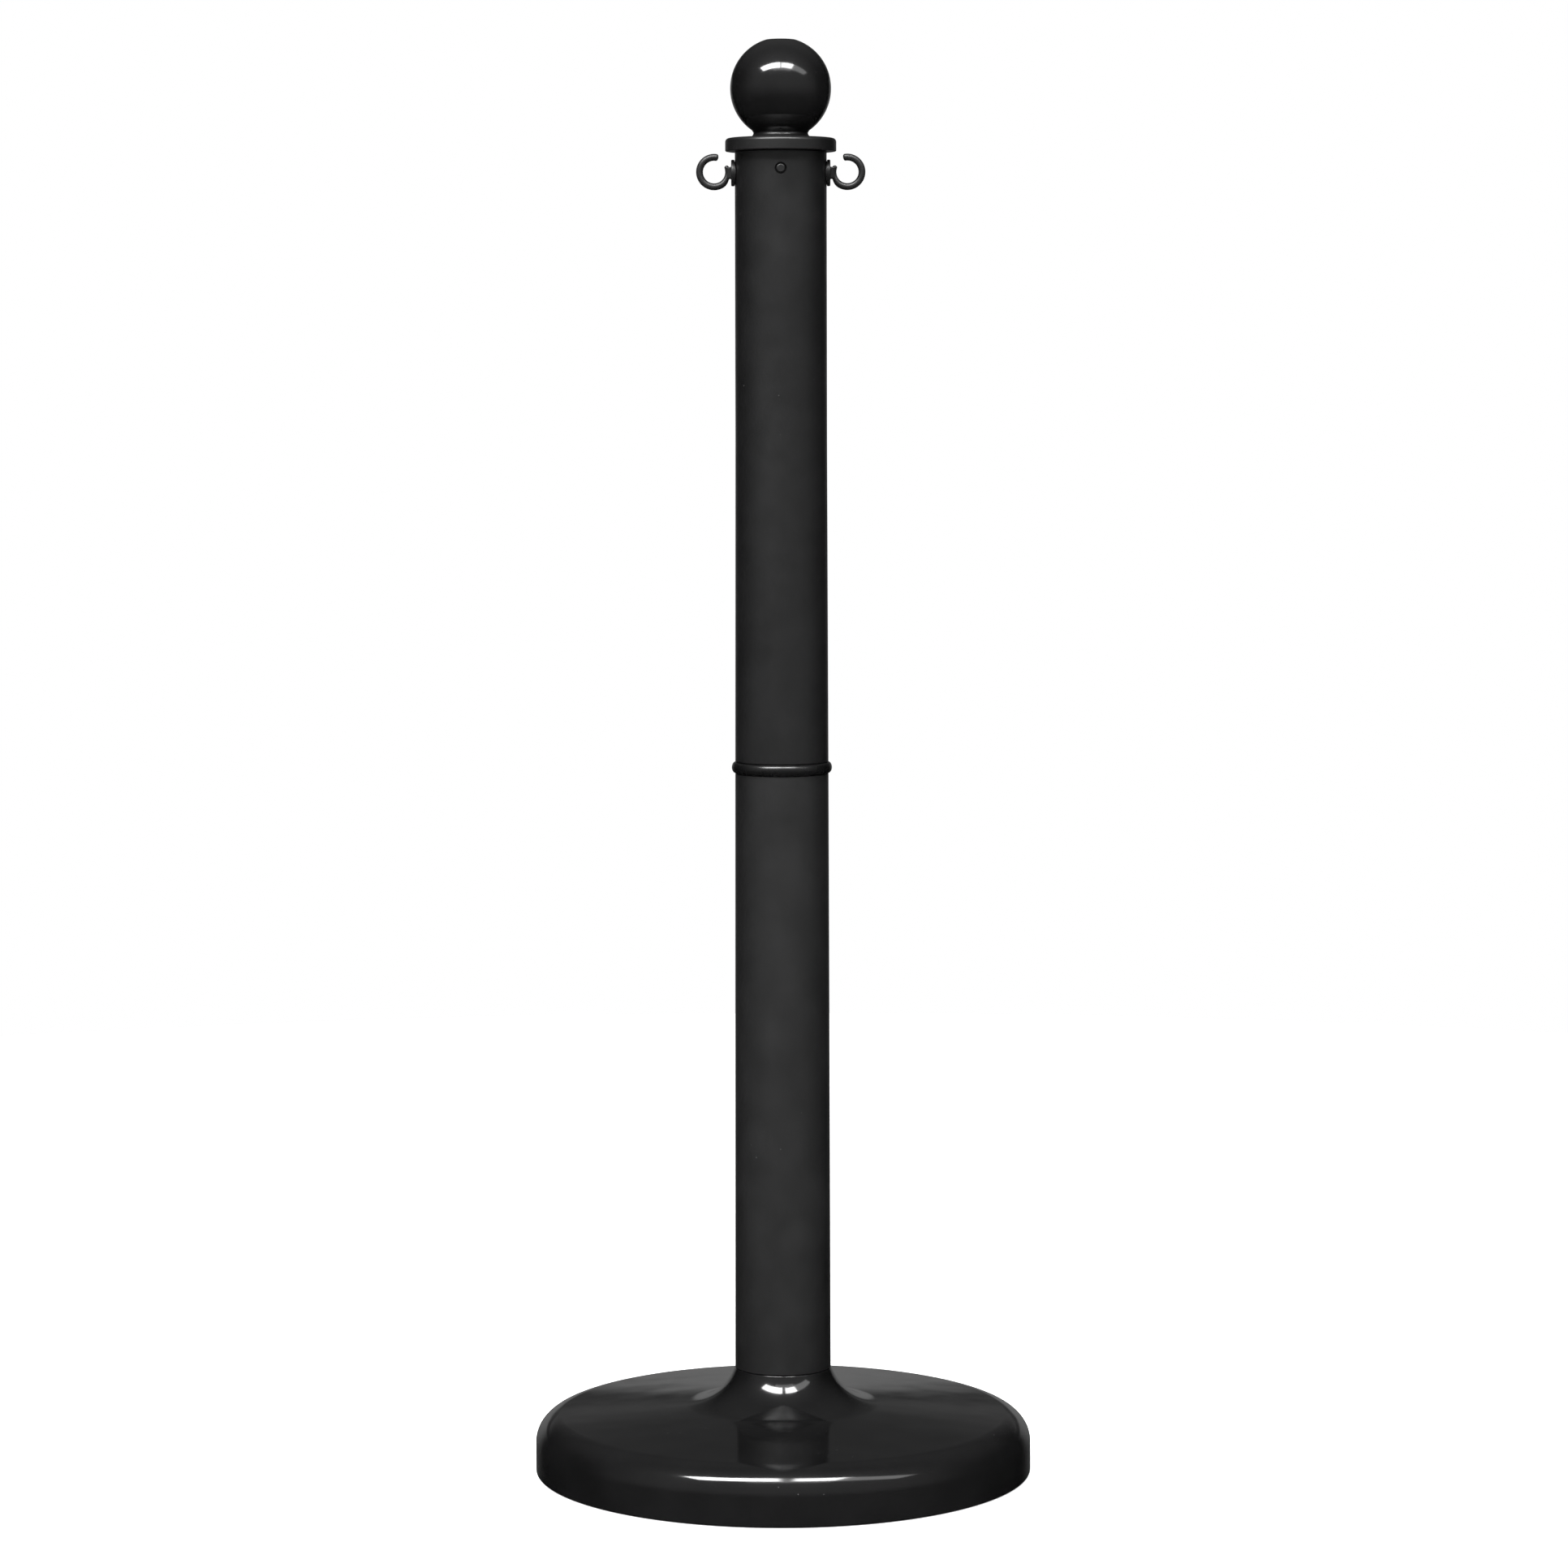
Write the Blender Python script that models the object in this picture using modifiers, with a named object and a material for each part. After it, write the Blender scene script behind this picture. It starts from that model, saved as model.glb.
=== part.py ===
"""Post stanchion with a ball top and two open rope hooks, built as separate moulded pieces.

Metres, +Z up, origin at the middle of the base's underside.
"""

import math

import bmesh
import bpy
from mathutils import Vector

# Driving dimensions
BASE_RADIUS = 0.1778
SHELL_WALL = 0.0025
BASE_WALL_HEIGHT = 0.0215
SHOULDER_WIDTH = 0.0200
SHOULDER_HEIGHT = 0.0195
SHOULDER_FIRST = 86.0
BASE_EDGE = 0.0015
TOP_SLOPE = math.radians(4.0)
FLARE_RADIUS = 0.041
FLARE_START = math.radians(20.0)
NECK_HEIGHT = 0.0742

PAN_THICKNESS = 0.0024
PAN_RECESS = 0.0031
FOOT_RING_WIDTH = 0.0249

STUB_RADIUS = 0.0311
STUB_TOP = 0.1300
FILL_HOLE_RADIUS = 0.0200
STOPPER_FLANGE_RADIUS = 0.0250
STOPPER_LENGTH = 0.0140
STOPPER_WALL = 0.0022
STOPPER_FLANGE = 0.0025
STOPPER_CLEARANCE = 0.0004

POST_WALL = 0.0026
POST_RADII = ((0.0742, 0.03433), (0.5067, 0.03315), (0.7400, 0.03240), (0.9411, 0.03230))
RING_MIDDLE = 0.5067
RING_HEIGHT = 0.0077
RING_PROUD = 0.00245
COUPLER_RADIUS_LOW = 0.0302
COUPLER_RADIUS_HIGH = 0.0299
COUPLER_WALL = 0.0023
COUPLER_REACH = 0.0600

FLANGE_BOTTOM = 0.9411
FLANGE_RADIUS = 0.0391
FLANGE_SIDE_TOP = 0.9476
FLANGE_CORNER = 0.0027
FLANGE_CORNER_FIRST = 85.0
FLANGE_CROWN = 0.9512
NECK_FILLET = 0.0028
CAP_NECK_RADIUS = 0.0192
CAP_NECK_HEIGHT = 0.9541
BALL_RADIUS = 0.0355
BALL_MIDDLE = 0.9850
BALL_TOP = 1.0191
CAP_WALL = 0.0022
SKIRT_RADIUS = 0.0293
SKIRT_WALL = 0.0020
SKIRT_BOTTOM = 0.9080

SNAP_HEIGHT = 0.9282
SNAP_HOLE_RADIUS = 0.0042
SNAP_BUTTON_RADIUS = 0.0031
SNAP_BUTTON_REACH = 0.0319
SNAP_BUTTON_DOME = 0.0008
TONGUE_WIDTH = 0.0120
TONGUE_TOP = 0.9375
TONGUE_BOTTOM = 0.9100
TONGUE_SLOT_WIDTH = 0.0128
TONGUE_ROOT_GAP = 0.0006

HOOK_HEIGHT = 0.9268
HOOK_CENTRE = 0.04685
HOOK_WIRE_RADIUS = 0.00245
HOOK_LINE_RADIUS = 0.0103
HOOK_ARM_RADIUS = 0.0093
HOOK_ARM_THINNING = 0.66
HOOK_OPEN_END = 100.0
HOOK_THINNING_START = -120.0
HOOK_THINNING_SWEEP = 60.0
HOOK_ARM_END = -201.0
HOOK_END_EASE = 0.25
HOOK_OPEN_END_SCALE = 0.78
HOOK_ARM_END_SCALE = 0.50
PLATE_HEIGHT = 0.9261
PLATE_RADIUS = 0.0093
PLATE_FACE = 0.0349
PLATE_DEPTH = 0.0040
WEB_HEIGHT = 0.0084
WEB_WIDTH = 0.0046
STEM_RADIUS = 0.0039
STEM_HOLE_RADIUS = 0.0042
BARB_RADIUS = 0.0048
BARB_START = 0.0290
BARB_END = 0.0246
BARB_SLOT = 0.0018
HOOK_NOTCH_WIDTH = 0.0115
HOOK_NOTCH_TOP = 0.9340

GAP = 0.0003
EDGE = 0.0005
OVERLAP = 0.0010
CUT_RUNOUT = 0.0040
TURNED_STEPS = 40
BASE_STEPS = 56
FLARE_STEPS = 7
SHOULDER_STEPS = 7
BALL_STEPS = 12
HOLLOW_STEPS = 8
HOOK_STOPS = 28


def clear_scene():
    """Remove every object already in the scene."""
    for thing in list(bpy.data.objects):
        bpy.data.objects.remove(thing, do_unlink=True)


def new_collection(name):
    """Make a collection under the scene."""
    collection = bpy.data.collections.new(name)
    bpy.context.scene.collection.children.link(collection)
    return collection


def plastic(name, colour, roughness):
    """Make a moulded plastic material."""
    material = bpy.data.materials.new(name)
    material.use_nodes = True
    shader = material.node_tree.nodes["Principled BSDF"]
    shader.inputs["Base Color"].default_value = (*colour, 1.0)
    shader.inputs["Roughness"].default_value = roughness
    shader.inputs["Metallic"].default_value = 0.0
    return material


def arc(middle, radii, first, last, steps):
    """Points along an elliptical arc, angles in degrees from +X."""
    points = []
    for step in range(steps + 1):
        angle = math.radians(first + (last - first) * step / steps)
        points.append((middle[0] + radii[0] * math.cos(angle), middle[1] + radii[1] * math.sin(angle)))
    return points


def inset_profile(points, distance):
    """The same outline moved inwards by a wall's thickness, with mitred corners."""
    moved = []
    for index, point in enumerate(points):
        here = Vector(point)
        before = here - Vector(points[index - 1]) if index else None
        after = Vector(points[index + 1]) - here if index + 1 < len(points) else None
        sides = [side.normalized() for side in (before, after) if side is not None]
        normals = [Vector((side.y, -side.x)) for side in sides]
        mean = sum(normals, Vector((0.0, 0.0))).normalized()
        reach = distance / mean.dot(normals[0])
        moved.append(tuple(here + mean * reach))
    return moved


def post_radius(height):
    """The post's outer radius at a height, which narrows slightly towards the top."""
    for (low, wide), (high, narrow) in zip(POST_RADII, POST_RADII[1:]):
        if height <= high:
            share = (height - low) / (high - low)
            return wide + (narrow - wide) * share
    return POST_RADII[-1][1]


def turned(name, profile, material, collection, closed=True, steps=TURNED_STEPS):
    """Turn a profile about Z; it runs down its outer side."""
    mesh = bpy.data.meshes.new(name)
    count = len(profile)
    edges = [(index, index + 1) for index in range(count - 1)]
    if closed:
        edges.append((count - 1, 0))
    mesh.from_pydata([(radius, 0.0, height) for radius, height in profile], edges, [])
    piece = bpy.data.objects.new(name, mesh)
    collection.objects.link(piece)
    if material is not None:
        mesh.materials.append(material)
    screw = piece.modifiers.new("turn", "SCREW")
    screw.axis = "Z"
    screw.steps = steps
    screw.render_steps = steps
    screw.use_merge_vertices = True
    screw.merge_threshold = 0.00001
    screw.use_smooth_shade = True
    return piece


def as_tool(piece, parent=None):
    """Mark an object as a cutter or a joining shape, which isn't a piece of its own."""
    piece.hide_render = True
    piece.display_type = "WIRE"
    if parent is not None:
        piece.parent = parent
    return piece


def mesh_object(name, build, collection, location=(0.0, 0.0, 0.0), rotation=(0.0, 0.0, 0.0)):
    """Make an object from a function that fills a bmesh."""
    shape = bmesh.new()
    build(shape)
    mesh = bpy.data.meshes.new(name)
    shape.to_mesh(mesh)
    shape.free()
    piece = bpy.data.objects.new(name, mesh)
    piece.location = location
    piece.rotation_euler = rotation
    collection.objects.link(piece)
    return piece


def box(name, size, location, collection):
    """Make a box of a size, centred on a place."""

    def build(shape):
        bmesh.ops.create_cube(shape, size=1.0)
        bmesh.ops.scale(shape, vec=size, verts=shape.verts)

    return mesh_object(name, build, collection, location)


def rod(name, radii, length, location, axis, collection, segments=32):
    """Make a cylinder or cone along X, Y or Z; the first radius is at the axis's low end."""

    def build(shape):
        bmesh.ops.create_cone(
            shape, cap_ends=True, segments=segments, radius1=radii[0], radius2=radii[1], depth=length
        )

    turns = {"X": (0.0, math.pi / 2, 0.0), "Y": (-math.pi / 2, 0.0, 0.0), "Z": (0.0, 0.0, 0.0)}
    return mesh_object(name, build, collection, location, turns[axis])


def combine(piece, tool, operation):
    """Cut or join a tool shape with a Boolean modifier."""
    boolean = piece.modifiers.new(tool.name, "BOOLEAN")
    boolean.operation = operation
    boolean.object = tool
    boolean.solver = "EXACT"


def base_outline():
    """The base's outer side, from the stub's top to the floor."""
    flare_centre = (
        post_radius(NECK_HEIGHT) + FLARE_RADIUS * math.cos(FLARE_START),
        NECK_HEIGHT + FLARE_RADIUS * math.sin(FLARE_START),
    )
    start = 180.0 + math.degrees(FLARE_START)
    end = 270.0 - math.degrees(TOP_SLOPE)
    flare = arc(flare_centre, (FLARE_RADIUS, FLARE_RADIUS), start, end, FLARE_STEPS)
    lip = [(flare[0][0] - EDGE, NECK_HEIGHT), (flare[0][0], NECK_HEIGHT - EDGE)]
    shoulder_middle = (BASE_RADIUS - SHOULDER_WIDTH, BASE_WALL_HEIGHT)
    shoulder = arc(
        shoulder_middle, (SHOULDER_WIDTH, SHOULDER_HEIGHT), SHOULDER_FIRST, 0.0, SHOULDER_STEPS
    )
    stub = [
        (FILL_HOLE_RADIUS, STUB_TOP),
        (STUB_RADIUS - 2 * EDGE, STUB_TOP),
        (STUB_RADIUS, STUB_TOP - 2 * EDGE),
        (STUB_RADIUS, NECK_HEIGHT),
    ]
    return stub + lip + flare[1:] + shoulder + [(BASE_RADIUS, 0.0)]


def make_base_shell(material, collection):
    """The glossy cover: rim, sloping top, flared neck and the stub that the post fits over."""
    outline = base_outline()
    inside = inset_profile(outline, SHELL_WALL)
    inside[0] = (FILL_HOLE_RADIUS, STUB_TOP - SHELL_WALL)
    edge = arc((BASE_RADIUS - BASE_EDGE, BASE_EDGE), (BASE_EDGE, BASE_EDGE), 0.0, -90.0, 2)
    profile = outline[:-1] + edge + inside[::-1]
    return turned("base_shell", profile, material, collection, steps=BASE_STEPS)


def make_base_pan(material, collection):
    """The disc that closes the ballast chamber, with a foot ring around a raised middle."""
    rim = BASE_RADIUS - SHELL_WALL - GAP
    foot = rim - FOOT_RING_WIDTH
    profile = [
        (0.0, PAN_RECESS + PAN_THICKNESS),
        (foot - PAN_THICKNESS, PAN_RECESS + PAN_THICKNESS),
        (foot + PAN_THICKNESS, PAN_THICKNESS),
        (rim, PAN_THICKNESS),
        (rim, 0.0),
        (foot, 0.0),
        (foot - PAN_RECESS, PAN_RECESS),
        (0.0, PAN_RECESS),
    ]
    return turned("base_pan", profile, material, collection, closed=False, steps=BASE_STEPS)


def make_fill_stopper(material, collection):
    """The push-in stopper in the stub, a cup with a flange to lift it by."""
    seat = STUB_TOP + GAP
    body = FILL_HOLE_RADIUS - STOPPER_CLEARANCE
    bore = body - STOPPER_WALL
    floor = seat - STOPPER_LENGTH + STOPPER_WALL
    profile = [
        (0.0, floor),
        (bore, floor),
        (bore, seat + STOPPER_FLANGE),
        (STOPPER_FLANGE_RADIUS, seat + STOPPER_FLANGE),
        (STOPPER_FLANGE_RADIUS, seat),
        (body, seat),
        (body, seat - STOPPER_LENGTH + EDGE),
        (body - EDGE, seat - STOPPER_LENGTH),
        (0.0, seat - STOPPER_LENGTH),
    ]
    return turned("fill_stopper", profile, material, collection, closed=False)


def make_post_tube(name, low, high, material, collection):
    """One length of the post, a tapering tube with eased ends."""
    heights = [high - EDGE]
    heights += [height for height, _ in reversed(POST_RADII) if low + EDGE < height < high - EDGE]
    heights += [low + EDGE]
    outer = [(post_radius(high) - EDGE, high)]
    outer += [(post_radius(height), height) for height in heights]
    outer += [(post_radius(low) - EDGE, low)]
    inner = [(post_radius(low) - POST_WALL, low)]
    inner += [(post_radius(height) - POST_WALL, height) for height in reversed(heights)]
    inner += [(post_radius(high) - POST_WALL, high)]
    return turned(name, outer + inner, material, collection)


def make_coupler(material, collection):
    """The sleeve that joins the two tubes, with the bead that shows between them."""
    low = RING_MIDDLE - RING_HEIGHT / 2
    high = RING_MIDDLE + RING_HEIGHT / 2
    face = post_radius(RING_MIDDLE)
    bead = arc((face, RING_MIDDLE), (RING_PROUD, RING_HEIGHT / 2), 90.0, -90.0, 6)
    bore = COUPLER_RADIUS_HIGH - COUPLER_WALL
    profile = [
        (COUPLER_RADIUS_HIGH - EDGE, high + COUPLER_REACH),
        (COUPLER_RADIUS_HIGH, high + COUPLER_REACH - 2 * EDGE),
        (COUPLER_RADIUS_HIGH, high),
        *bead,
        (COUPLER_RADIUS_LOW, low),
        (COUPLER_RADIUS_LOW, low - COUPLER_REACH + 2 * EDGE),
        (COUPLER_RADIUS_LOW - EDGE, low - COUPLER_REACH),
        (bore, low - COUPLER_REACH),
        (bore, high + COUPLER_REACH),
    ]
    return turned("coupler", profile, material, collection)


def cap_outline():
    """The cap's outer side, from the ball's flattened top to the skirt's lower edge."""
    rise = math.degrees(math.asin((BALL_TOP - BALL_MIDDLE) / BALL_RADIUS))
    fall = math.degrees(math.acos(CAP_NECK_RADIUS / BALL_RADIUS)) - 2.0
    ball = arc((0.0, BALL_MIDDLE), (BALL_RADIUS, BALL_RADIUS), rise, -fall, BALL_STEPS)
    fillet_middle = (CAP_NECK_RADIUS + NECK_FILLET, CAP_NECK_HEIGHT)
    fillet = arc(fillet_middle, (NECK_FILLET, FLANGE_CROWN - CAP_NECK_HEIGHT), 180.0, 90.0, 3)
    corner_middle = (FLANGE_RADIUS - FLANGE_CORNER, FLANGE_SIDE_TOP)
    corner = arc(corner_middle, (FLANGE_CORNER, FLANGE_CORNER), FLANGE_CORNER_FIRST, 0.0, 4)
    under = [
        (FLANGE_RADIUS, FLANGE_BOTTOM + EDGE),
        (FLANGE_RADIUS - EDGE, FLANGE_BOTTOM),
        (SKIRT_RADIUS, FLANGE_BOTTOM),
        (SKIRT_RADIUS, SKIRT_BOTTOM + EDGE),
        (SKIRT_RADIUS - EDGE, SKIRT_BOTTOM),
    ]
    return [(0.0, BALL_TOP)] + ball + fillet + corner + under


def make_ball_top(material, collection, tools):
    """The hollow ball cap, with a skirt inside the post that is notched for tongues and hooks."""
    rise = math.asin((BALL_TOP - BALL_MIDDLE) / BALL_RADIUS)
    hollow = BALL_RADIUS - CAP_WALL
    throat = CAP_NECK_RADIUS - CAP_WALL
    fall = math.acos(throat / hollow)
    skirt_bore = SKIRT_RADIUS - SKIRT_WALL
    ceiling = FLANGE_CROWN - 2 * CAP_WALL
    inside = [
        (skirt_bore, SKIRT_BOTTOM),
        (skirt_bore, ceiling),
        (throat, ceiling),
        *arc((0.0, BALL_MIDDLE), (hollow, hollow), -math.degrees(fall), math.degrees(rise), HOLLOW_STEPS),
        (0.0, BALL_TOP - CAP_WALL),
    ]
    cap = turned("ball_top", cap_outline() + inside, material, collection, closed=False)
    depth = SKIRT_BOTTOM - CUT_RUNOUT
    notches = (
        ("tongue_slots", TONGUE_SLOT_WIDTH, 3 * SKIRT_RADIUS, TONGUE_TOP + TONGUE_ROOT_GAP),
        ("hook_notches", 3 * SKIRT_RADIUS, HOOK_NOTCH_WIDTH, HOOK_NOTCH_TOP),
    )
    for name, wide, deep, top in notches:
        tool = box(name, (wide, deep, top - depth), (0.0, 0.0, (top + depth) / 2), tools)
        combine(cap, as_tool(tool), "DIFFERENCE")
    return cap


def make_snap_button(name, facing, tools):
    """The rounded button on a tongue, pointing outwards along Y."""
    foot = SKIRT_RADIUS - SKIRT_WALL / 2
    reach = SNAP_BUTTON_REACH - foot
    crown = arc(
        (0.0, reach - SNAP_BUTTON_DOME), (SNAP_BUTTON_RADIUS, SNAP_BUTTON_DOME), 90.0, 0.0, 5
    )
    profile = [(0.0, reach)] + crown[1:] + [(SNAP_BUTTON_RADIUS, 0.0), (0.0, 0.0)]
    button = turned(name, profile, None, tools, closed=False, steps=24)
    button.location = (0.0, facing * foot, SNAP_HEIGHT)
    button.rotation_euler = (-facing * math.pi / 2, 0.0, 0.0)
    return as_tool(button)


def make_snap_tongue(name, facing, material, collection, tools):
    """A springy tongue of the cap's skirt with the button that snaps into the post's hole."""
    profile = [
        (SKIRT_RADIUS, TONGUE_TOP),
        (SKIRT_RADIUS, TONGUE_BOTTOM + EDGE),
        (SKIRT_RADIUS - EDGE, TONGUE_BOTTOM),
        (SKIRT_RADIUS - SKIRT_WALL, TONGUE_BOTTOM),
        (SKIRT_RADIUS - SKIRT_WALL, TONGUE_TOP),
    ]
    tongue = turned(name, profile, material, collection)
    height = TONGUE_TOP - TONGUE_BOTTOM + 2 * GAP
    middle = (0.0, facing * SKIRT_RADIUS, (TONGUE_TOP + TONGUE_BOTTOM) / 2)
    strip = box(name + "_strip", (TONGUE_WIDTH, SKIRT_RADIUS, height), middle, tools)
    combine(tongue, as_tool(strip), "INTERSECT")
    combine(tongue, make_snap_button(name + "_button", facing, tools), "UNION")
    hinge = bpy.data.objects.new(name + "_hinge", None)
    hinge.location = (0.0, facing * (SKIRT_RADIUS - SKIRT_WALL / 2), TONGUE_TOP)
    collection.objects.link(hinge)
    tongue.parent = hinge
    tongue.location = -hinge.location
    return tongue


def hook_wire(name, collection):
    """The open ring of the hook: round wire that thins where it rises beside the post."""
    curve = bpy.data.curves.new(name, "CURVE")
    curve.dimensions = "3D"
    curve.bevel_depth = HOOK_WIRE_RADIUS
    curve.bevel_resolution = 2
    curve.use_fill_caps = True
    ease = HOOK_WIRE_RADIUS * HOOK_END_EASE
    stations = []
    for stop in range(HOOK_STOPS + 1):
        degrees = HOOK_OPEN_END + (HOOK_ARM_END - HOOK_OPEN_END) * stop / HOOK_STOPS
        share = min(max((HOOK_THINNING_START - degrees) / HOOK_THINNING_SWEEP, 0.0), 1.0)
        share = share * share * (3.0 - 2.0 * share)
        radius = HOOK_LINE_RADIUS + (HOOK_ARM_RADIUS - HOOK_LINE_RADIUS) * share
        thickness = 1.0 + (HOOK_ARM_THINNING - 1.0) * share
        stations.append((math.radians(degrees), radius, thickness))
    first = stations[0]
    last = stations[-1]
    turn = ease / HOOK_LINE_RADIUS
    stations.insert(0, (first[0] + turn, first[1], HOOK_OPEN_END_SCALE))
    stations.append((last[0] - turn, last[1], HOOK_ARM_END_SCALE))
    spline = curve.splines.new("POLY")
    spline.points.add(len(stations) - 1)
    for point, (angle, radius, thickness) in zip(spline.points, stations):
        along = HOOK_CENTRE + radius * math.cos(angle)
        point.co = (along, 0.0, HOOK_HEIGHT + radius * math.sin(angle), 1.0)
        point.radius = thickness
    thing = bpy.data.objects.new(name, curve)
    collection.objects.link(thing)
    return thing


def meshed(thing, name, collection):
    """Turn a curve object into a closed mesh object and remove the curve."""
    bpy.context.view_layer.update()
    seen = thing.evaluated_get(bpy.context.evaluated_depsgraph_get())
    mesh = bpy.data.meshes.new_from_object(seen)
    mesh.name = name
    shape = bmesh.new()
    shape.from_mesh(mesh)
    bmesh.ops.remove_doubles(shape, verts=shape.verts, dist=0.000001)
    bmesh.ops.recalc_face_normals(shape, faces=shape.faces)
    shape.to_mesh(mesh)
    shape.free()
    piece = bpy.data.objects.new(name, mesh)
    piece.matrix_world = thing.matrix_world
    collection.objects.link(piece)
    bpy.data.objects.remove(thing, do_unlink=True)
    return piece


def make_hook(name, turn, material, collection, tools):
    """One open hook with its web, round plate and split stem, turned about Z to its side."""
    hook = meshed(hook_wire(name + "_wire", tools), name, collection)
    hook.data.materials.append(material)
    seat = post_radius(PLATE_HEIGHT) + GAP
    plate_back = seat - PLATE_DEPTH
    plate = rod(
        name + "_plate",
        (PLATE_RADIUS, PLATE_RADIUS - EDGE),
        PLATE_FACE - plate_back,
        ((PLATE_FACE + plate_back) / 2, 0.0, PLATE_HEIGHT),
        "X",
        tools,
        32,
    )
    web_end = HOOK_CENTRE - HOOK_ARM_RADIUS
    web_start = PLATE_FACE - EDGE
    web = box(
        name + "_web",
        (web_end - web_start, WEB_WIDTH, WEB_HEIGHT),
        ((web_end + web_start) / 2, 0.0, PLATE_HEIGHT),
        tools,
    )
    hollow = rod(name + "_saddle", (seat, seat), 0.05, (0.0, 0.0, PLATE_HEIGHT), "Z", tools, 64)
    stem_start = BARB_START - OVERLAP
    stem = rod(
        name + "_stem",
        (STEM_RADIUS, STEM_RADIUS),
        PLATE_FACE - EDGE - stem_start,
        ((PLATE_FACE - EDGE + stem_start) / 2, 0.0, HOOK_HEIGHT),
        "X",
        tools,
    )
    barb = rod(
        name + "_barb",
        (STEM_RADIUS - 2 * EDGE, BARB_RADIUS),
        BARB_START - BARB_END,
        ((BARB_START + BARB_END) / 2, 0.0, HOOK_HEIGHT),
        "X",
        tools,
    )
    slot_end = seat - POST_WALL
    slot_start = BARB_END - OVERLAP
    slot = box(
        name + "_slot",
        (slot_end - slot_start, 3 * BARB_RADIUS, BARB_SLOT),
        ((slot_end + slot_start) / 2, 0.0, HOOK_HEIGHT),
        tools,
    )
    steps = (
        (web, "UNION"),
        (plate, "UNION"),
        (hollow, "DIFFERENCE"),
        (stem, "UNION"),
        (barb, "UNION"),
        (slot, "DIFFERENCE"),
    )
    for tool, operation in steps:
        combine(hook, as_tool(tool, hook), operation)
    hook.rotation_euler = (0.0, 0.0, turn)
    return hook


def make_upper_tube(material, collection, tools):
    """The upper length of the post, with holes for the hooks' stems and the snap buttons."""
    low = RING_MIDDLE + RING_HEIGHT / 2 + GAP
    high = FLANGE_BOTTOM - GAP
    tube = make_post_tube("upper_tube", low, high, material, collection)
    across = 3 * SKIRT_RADIUS
    holes = (
        ("hook_holes", STEM_HOLE_RADIUS, HOOK_HEIGHT, "X"),
        ("snap_holes", SNAP_HOLE_RADIUS, SNAP_HEIGHT, "Y"),
    )
    for name, radius, height, axis in holes:
        drill = rod(name, (radius, radius), across, (0.0, 0.0, height), axis, tools)
        combine(tube, as_tool(drill), "DIFFERENCE")
    return tube


def main():
    """Build every piece of the stanchion."""
    clear_scene()
    pieces = new_collection("post_stanchion")
    tools = new_collection("cutters")
    gloss_black = plastic("gloss_black", (0.010, 0.010, 0.011), 0.12)
    satin_black = plastic("satin_black", (0.022, 0.022, 0.023), 0.48)
    cap_black = plastic("cap_black", (0.012, 0.012, 0.013), 0.20)
    hook_black = plastic("hook_black", (0.030, 0.030, 0.032), 0.40)
    stopper_grey = plastic("stopper_grey", (0.080, 0.080, 0.085), 0.50)

    make_base_shell(gloss_black, pieces)
    make_base_pan(satin_black, pieces)
    make_fill_stopper(stopper_grey, pieces)
    lower_end = NECK_HEIGHT + GAP
    upper_end = RING_MIDDLE - RING_HEIGHT / 2 - GAP
    make_post_tube("lower_tube", lower_end, upper_end, satin_black, pieces)
    make_coupler(satin_black, pieces)
    make_upper_tube(satin_black, pieces, tools)
    make_hook("hook_right", 0.0, hook_black, pieces, tools)
    make_hook("hook_left", math.pi, hook_black, pieces, tools)
    make_ball_top(cap_black, pieces, tools)
    make_snap_tongue("snap_tongue_front", -1.0, cap_black, pieces, tools)
    make_snap_tongue("snap_tongue_back", 1.0, cap_black, pieces, tools)
    bpy.context.view_layer.update()


main()
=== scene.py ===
"""Fine surfaces, finishes, light and camera for the post stanchion.

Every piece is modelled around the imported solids: sizes and places come from their boxes, and each
piece rides on the body of the solid that it replaces. Metres, +Z up.
"""

import logging
import math
from collections.abc import Callable, Iterator
from contextlib import contextmanager
from dataclasses import dataclass, field, replace
from enum import Enum

import bmesh
import bpy
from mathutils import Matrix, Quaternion, Vector


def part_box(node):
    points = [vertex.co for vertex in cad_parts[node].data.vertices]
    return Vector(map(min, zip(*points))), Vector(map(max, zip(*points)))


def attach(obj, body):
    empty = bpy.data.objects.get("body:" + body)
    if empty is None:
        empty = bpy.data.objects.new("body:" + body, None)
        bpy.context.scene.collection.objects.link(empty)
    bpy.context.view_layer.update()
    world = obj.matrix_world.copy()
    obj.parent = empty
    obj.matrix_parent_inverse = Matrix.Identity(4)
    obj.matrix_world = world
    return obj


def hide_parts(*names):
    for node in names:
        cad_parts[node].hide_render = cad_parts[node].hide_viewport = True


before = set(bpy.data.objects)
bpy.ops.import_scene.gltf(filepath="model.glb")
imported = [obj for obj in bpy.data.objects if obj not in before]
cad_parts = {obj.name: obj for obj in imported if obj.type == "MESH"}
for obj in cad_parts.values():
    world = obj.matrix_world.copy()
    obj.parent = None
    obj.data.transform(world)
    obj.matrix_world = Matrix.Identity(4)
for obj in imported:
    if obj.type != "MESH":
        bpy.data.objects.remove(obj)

LOG = logging.getLogger("stanchion")
MILLIMETRE = 0.001
FULL_TURN = math.tau
MERGE = 0.000002
NEAR = 0.00001
SMOOTH_ANGLE = math.radians(32.0)
WALL_GAP = 0.0003
ORIGIN = (0.0, 0.0, 0.0)
UPRIGHT = (0.0, 0.0, 1.0)

Point = tuple[float, float]
Triple = tuple[float, float, float]
Colour = Triple
Piece = bpy.types.Object
Socket = bpy.types.NodeSocket


class Side(Enum):
    """Which side of the post a hook is on, as a turn about the post's axis."""

    RIGHT = 0.0
    LEFT = math.pi


class Facing(Enum):
    """Which way a snap button faces, as the sign of Y."""

    FRONT = -1.0
    BACK = 1.0


# ---------------------------------------------------------------- finishes


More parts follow.
